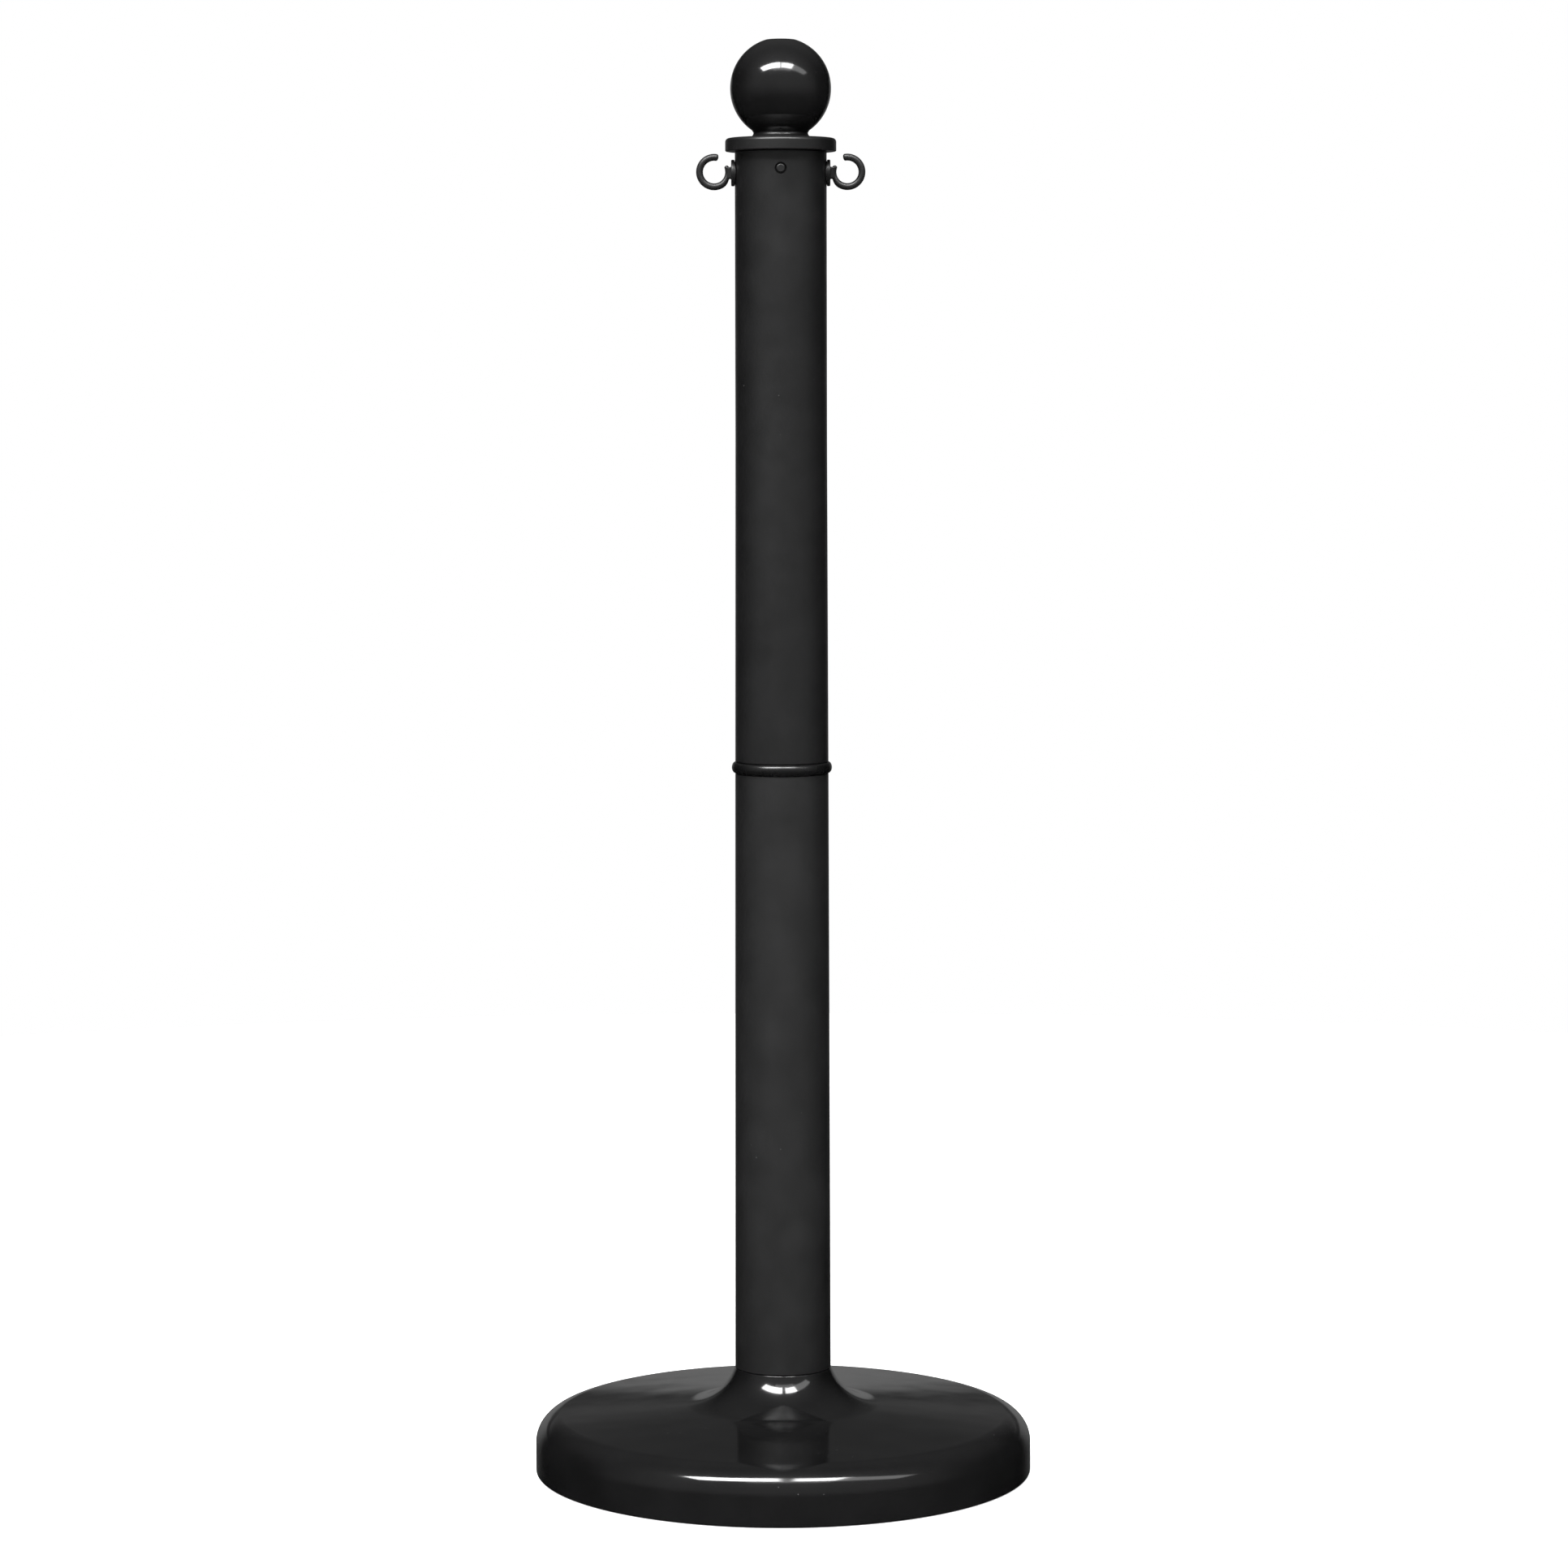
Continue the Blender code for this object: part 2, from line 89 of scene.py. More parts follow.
@dataclass(frozen=True)
class MouldedPlastic:
    """A moulded plastic finish, with its grain, its slight waviness and a little handling wear.

    Grain and wave sizes are in metres and their depths are the bump's distance in metres.
    """

    name: str
    colour: Colour
    roughness: float
    roughness_spread: float
    grain_size: float
    grain_depth: float
    wave_size: float
    wave_depth: float
    fleck_share: float = 0.0
    fleck_colour: Colour = (0.20, 0.20, 0.20)
    scuff_roughness: float = 0.5
    scuff_share: float = 0.0

    def material(self) -> bpy.types.Material:
        """Build the node material.

        Returns:
            The finished material, which reads Object coordinates only.
        """
        material = bpy.data.materials.new(self.name)
        material.use_nodes = True
        tree = material.node_tree
        shader = tree.nodes["Principled BSDF"]
        shader.inputs["Metallic"].default_value = 0.0
        shader.inputs["IOR"].default_value = 1.5
        place = tree.nodes.new("ShaderNodeTexCoord").outputs["Object"]
        self._colour(tree, shader, place)
        self._roughness(tree, shader, place)
        self._bump(tree, shader, place)
        return material

    def _noise(
        self,
        tree: bpy.types.NodeTree,
        place: Socket,
        size: float,
        detail: float,
        stretch: Colour = (1.0, 1.0, 1.0),
    ) -> Socket:
        """Add a noise pattern of a real size.

        Args:
            tree: The material's node tree.
            place: The coordinates that the pattern follows.
            size: The size of one blotch, in metres.
            detail: How many finer layers the pattern has.
            stretch: The scale of the pattern along X, Y and Z.

        Returns:
            The pattern's value, from 0 to 1.
        """
        mapping = tree.nodes.new("ShaderNodeMapping")
        mapping.inputs["Scale"].default_value = stretch
        tree.links.new(place, mapping.inputs["Vector"])
        noise = tree.nodes.new("ShaderNodeTexNoise")
        noise.inputs["Scale"].default_value = 1.0 / size
        noise.inputs["Detail"].default_value = detail
        tree.links.new(mapping.outputs["Vector"], noise.inputs["Vector"])
        return noise.outputs["Fac"]

    def _between(
        self,
        tree: bpy.types.NodeTree,
        value: Socket,
        source: Point,
        target: Point,
    ) -> Socket:
        """Map a value from one range onto another, clamped.

        Args:
            tree: The material's node tree.
            value: The value to map.
            source: The low and high end of the value's range.
            target: What those ends become.

        Returns:
            The mapped value.
        """
        node = tree.nodes.new("ShaderNodeMapRange")
        node.inputs["From Min"].default_value = source[0]
        node.inputs["From Max"].default_value = source[1]
        node.inputs["To Min"].default_value = target[0]
        node.inputs["To Max"].default_value = target[1]
        tree.links.new(value, node.inputs["Value"])
        return node.outputs["Result"]

    def _colour(
        self, tree: bpy.types.NodeTree, shader: bpy.types.Node, place: Socket
    ) -> None:
        """Vary the pigment slightly and scatter pale dust flecks over it.

        Args:
            tree: The material's node tree.
            shader: The Principled shader.
            place: The coordinates that the patterns follow.
        """
        ramp = tree.nodes.new("ShaderNodeValToRGB")
        ramp.color_ramp.elements[0].position = 0.30
        ramp.color_ramp.elements[1].position = 0.72
        ramp.color_ramp.elements[0].color = (*[part * 0.82 for part in self.colour], 1.0)
        ramp.color_ramp.elements[1].color = (*[part * 1.18 for part in self.colour], 1.0)
        tree.links.new(self._noise(tree, place, 0.035, 3.0), ramp.inputs["Fac"])
        cells = tree.nodes.new("ShaderNodeTexVoronoi")
        cells.inputs["Scale"].default_value = 1.0 / 0.009
        tree.links.new(place, cells.inputs["Vector"])
        speck = self._between(tree, cells.outputs["Distance"], (0.020, 0.045), (1.0, 0.0))
        patch = self._noise(tree, place, 0.05, 1.0)
        where = self._between(tree, patch, (0.60 - self.fleck_share, 0.66 - self.fleck_share), (0.0, 0.6))
        amount = tree.nodes.new("ShaderNodeMath")
        amount.operation = "MULTIPLY"
        tree.links.new(speck, amount.inputs[0])
        tree.links.new(where, amount.inputs[1])
        mix = tree.nodes.new("ShaderNodeMix")
        mix.data_type = "RGBA"
        colour_in = [socket for socket in mix.inputs if socket.type == "RGBA"]
        colour_out = [socket for socket in mix.outputs if socket.type == "RGBA"]
        colour_in[1].default_value = (*self.fleck_colour, 1.0)
        tree.links.new(amount.outputs["Value"], mix.inputs["Factor"])
        tree.links.new(ramp.outputs["Color"], colour_in[0])
        tree.links.new(colour_out[0], shader.inputs["Base Color"])

    def _roughness(
        self, tree: bpy.types.NodeTree, shader: bpy.types.Node, place: Socket
    ) -> None:
        """Vary the gloss, and dull it where the surface has been rubbed.

        Args:
            tree: The material's node tree.
            shader: The Principled shader.
            place: The coordinates that the patterns follow.
        """
        low = self.roughness - self.roughness_spread
        high = self.roughness + self.roughness_spread
        mottle = self._between(tree, self._noise(tree, place, 0.018, 4.0), (0.30, 0.70), (low, high))
        fine = self._noise(tree, place, 0.0025, 2.0, (1.0, 1.0, 6.0))
        rubbed = self._between(
            tree, fine, (0.70 - self.scuff_share, 0.82 - self.scuff_share), (0.0, self.scuff_roughness)
        )
        total = tree.nodes.new("ShaderNodeMath")
        total.operation = "ADD"
        total.use_clamp = True
        tree.links.new(mottle, total.inputs[0])
        tree.links.new(rubbed, total.inputs[1])
        tree.links.new(total.outputs["Value"], shader.inputs["Roughness"])

    def _bump(
        self, tree: bpy.types.NodeTree, shader: bpy.types.Node, place: Socket
    ) -> None:
        """Raise the moulded grain on top of the wall's slow waviness.

        Args:
            tree: The material's node tree.
            shader: The Principled shader.
            place: The coordinates that the patterns follow.
        """
        wave = tree.nodes.new("ShaderNodeBump")
        wave.inputs["Distance"].default_value = self.wave_depth
        tree.links.new(self._noise(tree, place, self.wave_size, 1.0), wave.inputs["Height"])
        grain = tree.nodes.new("ShaderNodeBump")
        grain.inputs["Distance"].default_value = self.grain_depth
        tree.links.new(self._noise(tree, place, self.grain_size, 3.0), grain.inputs["Height"])
        tree.links.new(wave.outputs["Normal"], grain.inputs["Normal"])
        tree.links.new(grain.outputs["Normal"], shader.inputs["Normal"])


GLOSS_BASE = MouldedPlastic(
    name="gloss_black_base",
    colour=(0.0044, 0.0044, 0.0045),
    roughness=0.105,
    roughness_spread=0.020,
    grain_size=0.0006,
    grain_depth=0.0000010,
    wave_size=0.045,
    wave_depth=0.00030,
    fleck_share=0.02,
    scuff_roughness=0.06,
)
SATIN_POST = MouldedPlastic(
    name="satin_black_post",
    colour=(0.0088, 0.0088, 0.0090),
    roughness=0.41,
    roughness_spread=0.05,
    grain_size=0.0007,
    grain_depth=0.000035,
    wave_size=0.030,
    wave_depth=0.00006,
    fleck_share=0.03,
    scuff_roughness=0.12,
)
# Painted shade: the upper tube's copy of the post satin has a darker colour. It dims the upper length, which
# the overhead softboxes light more strongly than the lower one.
SATIN_UPPER_POST_PAINTED_SHADE = replace(
    SATIN_POST, name="satin_black_upper_post_painted_shade", colour=(0.0064, 0.0064, 0.0066), roughness=0.36
)
SATIN_RING = MouldedPlastic(
    name="satin_black_ring",
    colour=(0.0034, 0.0034, 0.0035),
    roughness=0.27,
    roughness_spread=0.04,
    grain_size=0.0006,
    grain_depth=0.000012,
    wave_size=0.020,
    wave_depth=0.00003,
)
GLOSS_BALL = MouldedPlastic(
    name="gloss_black_ball",
    colour=(0.0050, 0.0050, 0.0051),
    roughness=0.11,
    roughness_spread=0.025,
    grain_size=0.0007,
    grain_depth=0.000004,
    wave_size=0.022,
    wave_depth=0.00010,
    fleck_share=0.01,
)
SATIN_FLANGE = MouldedPlastic(
    name="satin_black_flange",
    colour=(0.0070, 0.0070, 0.0071),
    roughness=0.34,
    roughness_spread=0.05,
    grain_size=0.0007,
    grain_depth=0.000018,
    wave_size=0.012,
    wave_depth=0.00003,
    fleck_share=0.02,
)
SATIN_HOOK = MouldedPlastic(
    name="satin_black_hook",
    colour=(0.0078, 0.0078, 0.0080),
    roughness=0.40,
    roughness_spread=0.04,
    grain_size=0.0006,
    grain_depth=0.000006,
    wave_size=0.008,
    wave_depth=0.00001,
    scuff_roughness=0.25,
    scuff_share=0.03,
)
PLAIN_UNDERSIDE = MouldedPlastic(
    name="plain_black_underside",
    colour=(0.0130, 0.0130, 0.0130),
    roughness=0.52,
    roughness_spread=0.06,
    grain_size=0.0009,
    grain_depth=0.000030,
    wave_size=0.040,
    wave_depth=0.00010,
    fleck_share=0.05,
    scuff_roughness=0.30,
    scuff_share=0.05,
)
SOFT_STOPPER = MouldedPlastic(
    name="soft_grey_stopper",
    colour=(0.0600, 0.0600, 0.0610),
    roughness=0.44,
    roughness_spread=0.05,
    grain_size=0.0008,
    grain_depth=0.000015,
    wave_size=0.010,
    wave_depth=0.00004,
)


# ---------------------------------------------------------------- modelling steps


class Outline:
    """A turned outline, drawn point by point: radius first, height second."""

    def __init__(self, radius: float, height: float, soften: float = 0.0) -> None:
        """Start the outline.

        Args:
            radius: The first point's distance from the axis.
            height: The first point's height.
            soften: How far back the corner there is rounded.
        """
        self.points: list[Point] = []
        self.softened: dict[Point, float] = {}
        self.line(radius, height, soften)

    def line(self, radius: float, height: float, soften: float = 0.0) -> None:
        """Draw a straight stretch.

        Args:
            radius: The end's distance from the axis.
            height: The end's height.
            soften: How far back the corner there is rounded.
        """
        self.points.append((radius, height))
        if soften:
            self.softened[(radius, height)] = soften

    def curve(self, middle: Point, radii: Point, first: float, last: float, steps: int) -> None:
        """Draw an elliptical arc.

        Args:
            middle: The arc's centre.
            radii: Its half-widths along the radius and the height.
            first: The angle it starts at, in degrees from outwards.
            last: The angle it ends at.
            steps: How many straight pieces it has.
        """
        for step in range(steps + 1):
            angle = math.radians(first + (last - first) * step / steps)
            radius = middle[0] + radii[0] * math.cos(angle)
            self.points.append((radius, middle[1] + radii[1] * math.sin(angle)))


def deselect_all() -> None:
    """Deselect every object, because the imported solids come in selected."""
    if bpy.context.object and bpy.context.object.mode != "OBJECT":
        bpy.ops.object.mode_set(mode="OBJECT")
    bpy.ops.object.select_all(action="DESELECT")


def make_active(piece: Piece) -> None:
    """Select one object alone and make it active."""
    deselect_all()
    piece.select_set(True)
    bpy.context.view_layer.objects.active = piece


@contextmanager
def editing(piece: Piece) -> Iterator[None]:
    """Hold a piece in edit mode for the enclosed steps.

    Args:
        piece: The piece to edit.

    Yields:
        Nothing; the operators act on the piece in edit mode.
    """
    make_active(piece)
    bpy.ops.object.mode_set(mode="EDIT")
    bpy.ops.mesh.select_mode(type="VERT")
    try:
        yield
    finally:
        bpy.ops.object.mode_set(mode="OBJECT")


def pick(kind: str, wanted: Callable[..., bool]) -> None:
    """Select vertices, edges or faces by their place or normal, and nothing else.

    Args:
        kind: VERT, EDGE or FACE.
        wanted: Says for an element of the edit mesh whether it is selected.
    """
    bpy.ops.mesh.select_mode(type=kind)
    bpy.ops.mesh.select_all(action="DESELECT")
    mesh = bpy.context.edit_object.data
    shape = bmesh.from_edit_mesh(mesh)
    elements = {"VERT": shape.verts, "EDGE": shape.edges, "FACE": shape.faces}[kind]
    for element in [element for element in elements if wanted(element)]:
        element.select_set(True)
    shape.select_flush_mode()
    bmesh.update_edit_mesh(mesh)


def tidy_mesh() -> None:
    """Merge doubles and point the faces outwards, in edit mode."""
    bpy.ops.mesh.select_mode(type="VERT")
    bpy.ops.mesh.select_all(action="SELECT")
    bpy.ops.mesh.remove_doubles(threshold=MERGE)
    bpy.ops.mesh.normals_make_consistent(inside=False)


def draw_outline(name: str, outline: Outline, closed: bool) -> Piece:
    """Draw an outline in the XZ plane by extruding one vertex along it.

    Args:
        name: The new piece's name.
        outline: The outline.
        closed: Whether its end joins its start.

    Returns:
        The piece, which is a chain of edges.
    """
    deselect_all()
    bpy.ops.mesh.primitive_plane_add(size=MILLIMETRE)
    piece = bpy.context.object
    piece.name = name
    points = list(outline.points)
    if closed:
        points.append(points[0])
    with editing(piece):
        bpy.ops.mesh.select_all(action="SELECT")
        bpy.ops.mesh.merge(type="CENTER")
        here = Vector((0.0, 0.0, 0.0))
        for index, (radius, height) in enumerate(points):
            there = Vector((radius, 0.0, height))
            move = tuple(there - here)
            if index == 0:
                bpy.ops.transform.translate(value=move)
            else:
                bpy.ops.mesh.extrude_region_move(TRANSFORM_OT_translate={"value": move})
            here = there
        bpy.ops.mesh.select_all(action="SELECT")
        bpy.ops.mesh.remove_doubles(threshold=MERGE)
        soften_corners(outline)
    return piece


def soften_corners(outline: Outline) -> None:
    """Round the marked corners of a drawn outline, in edit mode.

    Args:
        outline: The outline, which says how far back each corner is rounded.
    """
    for amount in sorted(set(outline.softened.values())):
        corners = [
            Vector((radius, 0.0, height))
            for (radius, height), soften in outline.softened.items()
            if soften == amount
        ]
        pick("VERT", lambda vert: any((vert.co - corner).length < NEAR for corner in corners))
        bpy.ops.mesh.bevel(offset=amount, segments=4, affect="VERTICES")


def turn_solid(
    name: str,
    outline: Outline,
    closed: bool,
    steps: int = 144,
    sweep: float = FULL_TURN,
    start: float = 0.0,
) -> Piece:
    """Turn an outline about the post's axis.

    Args:
        name: The new piece's name.
        outline: The outline, down the outer side first.
        closed: Whether the outline's end joins its start.
        steps: How many facets the turn has.
        sweep: How far it turns.
        start: Where the turn starts, from +X.

    Returns:
        The turned piece, with its faces outwards.
    """
    piece = draw_outline(name, outline, closed)
    with editing(piece):
        bpy.ops.mesh.select_all(action="SELECT")
        if start:
            bpy.ops.transform.rotate(value=-start, orient_axis="Z", center_override=ORIGIN)
        if sweep < FULL_TURN:
            bpy.ops.mesh.edge_face_add()
        bpy.ops.mesh.spin(steps=steps, angle=sweep, center=ORIGIN, axis=UPRIGHT)
        tidy_mesh()
    return piece


def apply_modifier(piece: Piece, modifier: bpy.types.Modifier) -> None:
    """Apply one modifier, as its menu's Apply does."""
    make_active(piece)
    bpy.ops.object.modifier_apply(modifier=modifier.name)


def combine(piece: Piece, tool: Piece, operation: str) -> None:
    """Cut or join a tool shape and remove the tool.

    Args:
        piece: The piece to change.
        tool: The shape that cuts or joins.
        operation: DIFFERENCE or UNION.
    """
    modifier = piece.modifiers.new("combine", "BOOLEAN")
    modifier.operation = operation
    modifier.object = tool
    modifier.solver = "EXACT"
    apply_modifier(piece, modifier)
    bpy.data.objects.remove(tool, do_unlink=True)


def smooth(piece: Piece) -> None:
    """Shade a piece smooth, with its sharp edges kept and its large faces true."""
    make_active(piece)
    bpy.ops.object.shade_smooth_by_angle(angle=SMOOTH_ANGLE)
    modifier = piece.modifiers.new("true_normals", "WEIGHTED_NORMAL")
    modifier.keep_sharp = True
    apply_modifier(piece, modifier)


def add_box(size: Triple, middle: Triple) -> Piece:
    """Add a box of a size, with its size applied.

    Args:
        size: Its sides along X, Y and Z.
        middle: Its centre.

    Returns:
        The box.
    """
    deselect_all()
    bpy.ops.mesh.primitive_cube_add(size=1.0, location=middle)
    block = bpy.context.object
    block.scale = size
    bpy.ops.object.transform_apply(location=True, rotation=True, scale=True)
    return block


def add_rod(
    radius: float, length: float, middle: Triple, along: str, end_radius: float | None = None
) -> Piece:
    """Add a rod or cone along X, Y or Z.

    Args:
        radius: Its radius at the low end.
        length: Its length.
        middle: Its centre.
        along: The axis that it lies along.
        end_radius: Its radius at the high end, if that differs.

    Returns:
        The rod.
    """
    deselect_all()
    turns = {"X": (0.0, math.pi / 2, 0.0), "Y": (-math.pi / 2, 0.0, 0.0), "Z": (0.0, 0.0, 0.0)}
    bpy.ops.mesh.primitive_cone_add(
        vertices=64,
        radius1=radius,
        radius2=radius if end_radius is None else end_radius,
        depth=length,
        location=middle,
        rotation=turns[along],
    )
    bpy.ops.object.transform_apply(location=True, rotation=True, scale=True)
    return bpy.context.object


def hand_over(piece: Piece, node: str, body: str, finish: bpy.types.Material) -> None:
    """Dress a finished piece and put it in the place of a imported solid.

    Args:
        piece: The finished piece.
        node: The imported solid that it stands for.
        body: The body that it rides on.
        finish: Its material, unless faces already have theirs.
    """
    if not piece.data.materials:
        piece.data.materials.append(finish)
    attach(piece, body)
    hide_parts(node)
    LOG.info("%s: %d faces, rides on %s", piece.name, len(piece.data.polygons), body)


def duplicate(piece: Piece, name: str, turn: float) -> Piece:
    """Copy a finished piece with its own mesh and turn the copy about the post's axis.

    Args:
        piece: The piece to copy.
        name: The copy's name.
        turn: How far the copy's mesh is turned.

    Returns:
        The copy.
    """
    make_active(piece)
    bpy.ops.object.duplicate(linked=False)
    copy = bpy.context.object
    copy.name = name
    copy.data.name = name
    with editing(copy):
        bpy.ops.mesh.select_all(action="SELECT")
        bpy.ops.transform.rotate(value=turn, orient_axis="Z", center_override=ORIGIN)
    return copy


# ---------------------------------------------------------------- the post's own sizes


@dataclass(frozen=True)
class Extent:
    """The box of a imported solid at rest."""

    low: Vector
    high: Vector

    @classmethod
    def of(cls, node: str) -> "Extent":
        """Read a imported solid's box."""
        low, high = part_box(node)
        return cls(Vector(low), Vector(high))


@dataclass(frozen=True)
class Taper:
    """The post's outer radius at each height, which narrows slightly towards the top."""

    stations: tuple[Point, ...] = (
        (0.0742, 0.03433),
        (0.5067, 0.03315),
        (0.7400, 0.03240),
        (0.9411, 0.03230),
    )

    def at(self, height: float) -> float:
        """The radius at a height."""
        for (low, wide), (high, narrow) in zip(self.stations, self.stations[1:]):
            if height <= high:
                return wide + (narrow - wide) * (height - low) / (high - low)
        return self.stations[-1][1]


POST_TAPER = Taper()


def offset_points(points: list[Point], distance: float) -> list[Point]:
    """Move an outline inwards by a wall's thickness, with mitred corners.

    Args:
        points: The outline, down its outer side.
        distance: The wall's thickness.

    Returns:
        The moved outline, in the same order.
    """
    moved = []
    for index, point in enumerate(points):
        here = Vector(point)
        sides = []
        if index:
            sides.append((here - Vector(points[index - 1])).normalized())
        if index + 1 < len(points):
            sides.append((Vector(points[index + 1]) - here).normalized())
        normals = [Vector((side.y, -side.x)) for side in sides]
        mean = sum(normals, Vector((0.0, 0.0))).normalized()
        moved.append(tuple(here + mean * (distance / mean.dot(normals[0]))))
    return moved


# ---------------------------------------------------------------- base


@dataclass
class BaseCover:
    """The glossy cover: rim, sloping top, flared neck, and the stub that the post fits over."""

    node: str = "base_shell"
    body: str = "base"
    slot: str = "base_gloss"
    wall: float = 0.0025
    wall_height: float = 0.0215
    shoulder_width: float = 0.0200
    shoulder_height: float = 0.0195
    rim_edge: float = 0.0015
    top_slope: float = math.radians(4.0)
    flare_radius: float = 0.041
    flare_start: float = math.radians(20.0)
    neck_height: float = 0.0742
    stub_radius: float = 0.0311
    hole_radius: float = 0.0200
    lip: float = 0.0006
    steps: int = 192
    rib_depth: float = 0.00025
    rib_count: int = 8
    shoulder_first: float = 86.0

    def outer(self, rim: float, top: float) -> Outline:
        """Draw the cover's outer side, from the stub's hole to the floor.

        Args:
            rim: The base's radius.
            top: The height of the stub's top.

        Returns:
            The outline, down to the rim's lower edge.
        """
        neck = POST_TAPER.at(self.neck_height)
        middle = (
            neck + self.flare_radius * math.cos(self.flare_start),
            self.neck_height + self.flare_radius * math.sin(self.flare_start),
        )
        outline = Outline(self.hole_radius, top)
        outline.line(self.stub_radius, top, soften=0.001)
        outline.line(self.stub_radius, self.neck_height)
        outline.line(neck, self.neck_height, soften=self.lip)
        outline.curve(
            middle,
            (self.flare_radius, self.flare_radius),
            181.5 + math.degrees(self.flare_start),
            270.0 - math.degrees(self.top_slope),
            26,
        )
        outline.curve(
            (rim - self.shoulder_width, self.wall_height),
            (self.shoulder_width, self.shoulder_height),
            self.shoulder_first,
            0.0,
            18,
        )
        outline.line(rim, self.rim_edge)
        return outline

    def build(self) -> Piece:
        """Turn the cover and raise the ribs that hold the post's tube.

        Returns:
            The finished cover.
        """
        extent = Extent.of(self.node)
        rim = extent.high.x
        top = extent.high.z
        outline = self.outer(rim, top)
        inside = offset_points(outline.points + [(rim, 0.0)], self.wall)
        inside[0] = (self.hole_radius, top - self.wall)
        inside[-1] = (rim - self.wall, 0.0)
        outline.curve((rim - self.rim_edge, self.rim_edge), (self.rim_edge, self.rim_edge), -15.0, -90.0, 5)
        for radius, height in reversed(inside):
            outline.line(radius, height)
        piece = turn_solid("base_cover", outline, closed=True, steps=self.steps)
        self._raise_ribs(piece)
        smooth(piece)
        return piece

    def _raise_ribs(self, piece: Piece) -> None:
        """Raise shallow upright ribs round the stub."""
        pitch = FULL_TURN / self.rib_count
        with editing(piece):
            for rib in range(self.rib_count):
                place = pitch * rib
                aim = Vector((math.cos(place), math.sin(place)))
                pick("FACE", lambda face: self._on_stub(face, aim))
                bpy.ops.mesh.inset(thickness=0.0002, depth=self.rib_depth)

    def _on_stub(self, face: bmesh.types.BMFace, aim: Vector) -> bool:
        """Whether a face of the stub's outer wall lies in a direction from the axis."""
        middle = face.calc_center_median()
        radius = middle.xy.length
        if abs(radius - self.stub_radius) > 0.0001 or middle.z < self.neck_height:
            return False
        upright = face.normal.xy.length > 0.9
        return upright and middle.xy.normalized().dot(aim) > math.cos(FULL_TURN / self.steps)

    def dress(self, piece: Piece) -> None:
        """Give the cover its gloss and its place."""
        hand_over(piece, self.node, self.body, GLOSS_BASE.material())


@dataclass
class BasePan:
    """The disc under the base, with a foot ring, ring ribs and spokes in its recess."""

    node: str = "base_pan"
    body: str = "base"
    slot: str = "inner_plastic"
    foot_width: float = 0.0249
    recess: float = 0.0031
    thickness: float = 0.0024
    rib_drop: float = 0.0018
    rib_width: float = 0.0022
    hub: float = 0.0280
    middle_ring: float = 0.0900
    spokes: int = 12
    steps: int = 160

    def build(self) -> Piece:
        """Turn the disc and join its spokes.

        Returns:
            The finished disc.
        """
        extent = Extent.of(self.node)
        rim = extent.high.x
        top = self.thickness + self.recess
        foot = rim - self.foot_width
        outline = Outline(0.0, top)
        outline.line(foot - self.thickness, top, soften=0.001)
        outline.line(foot + self.thickness, self.thickness, soften=0.001)
        outline.line(rim, self.thickness, soften=0.0004)
        outline.line(rim, 0.0, soften=0.0006)
        outline.line(foot, 0.0, soften=0.0008)
        outline.line(foot - self.recess, self.recess, soften=0.0008)
        for ring in (self.middle_ring, self.hub):
            self._draw_ring(outline, ring)
        outline.line(0.0, self.recess)
        piece = turn_solid("base_underside", outline, closed=False, steps=self.steps)
        for spoke in range(self.spokes):
            combine(piece, self._spoke(foot, FULL_TURN * spoke / self.spokes), "UNION")
        with editing(piece):
            tidy_mesh()
        smooth(piece)
        return piece

    def _draw_ring(self, outline: Outline, radius: float) -> None:
        """Draw one ring rib into the recess, from its outer side inwards."""
        half = self.rib_width / 2
        low = self.recess - self.rib_drop
        outline.line(radius + half + 0.0004, self.recess, soften=0.0005)
        outline.line(radius + half, low, soften=0.0004)
        outline.line(radius - half, low, soften=0.0004)
        outline.line(radius - half - 0.0004, self.recess, soften=0.0005)

    def _spoke(self, foot: float, angle: float) -> Piece:
        """Make one spoke between the hub and the foot ring.

        Args:
            foot: The foot ring's inner radius.
            angle: Its direction from +X.

        Returns:
            The spoke, with its lower edges eased.
        """
        start = self.hub
        end = foot - self.recess / 2
        low = self.recess - self.rib_drop + 0.0001
        high = self.recess + self.thickness / 2
        middle = ((start + end) / 2, 0.0, (low + high) / 2)
        spoke = add_box((end - start, self.rib_width, high - low), middle)
        with editing(spoke):
            pick("EDGE", lambda edge: all(vert.co.z < low + 0.0001 for vert in edge.verts))
            bpy.ops.mesh.bevel(offset=0.0004, segments=2)
            bpy.ops.mesh.select_all(action="SELECT")
            bpy.ops.transform.rotate(value=angle, orient_axis="Z", center_override=ORIGIN)
        return spoke

    def dress(self, piece: Piece) -> None:
        """Give the disc its dull finish and its place."""
        hand_over(piece, self.node, self.body, PLAIN_UNDERSIDE.material())


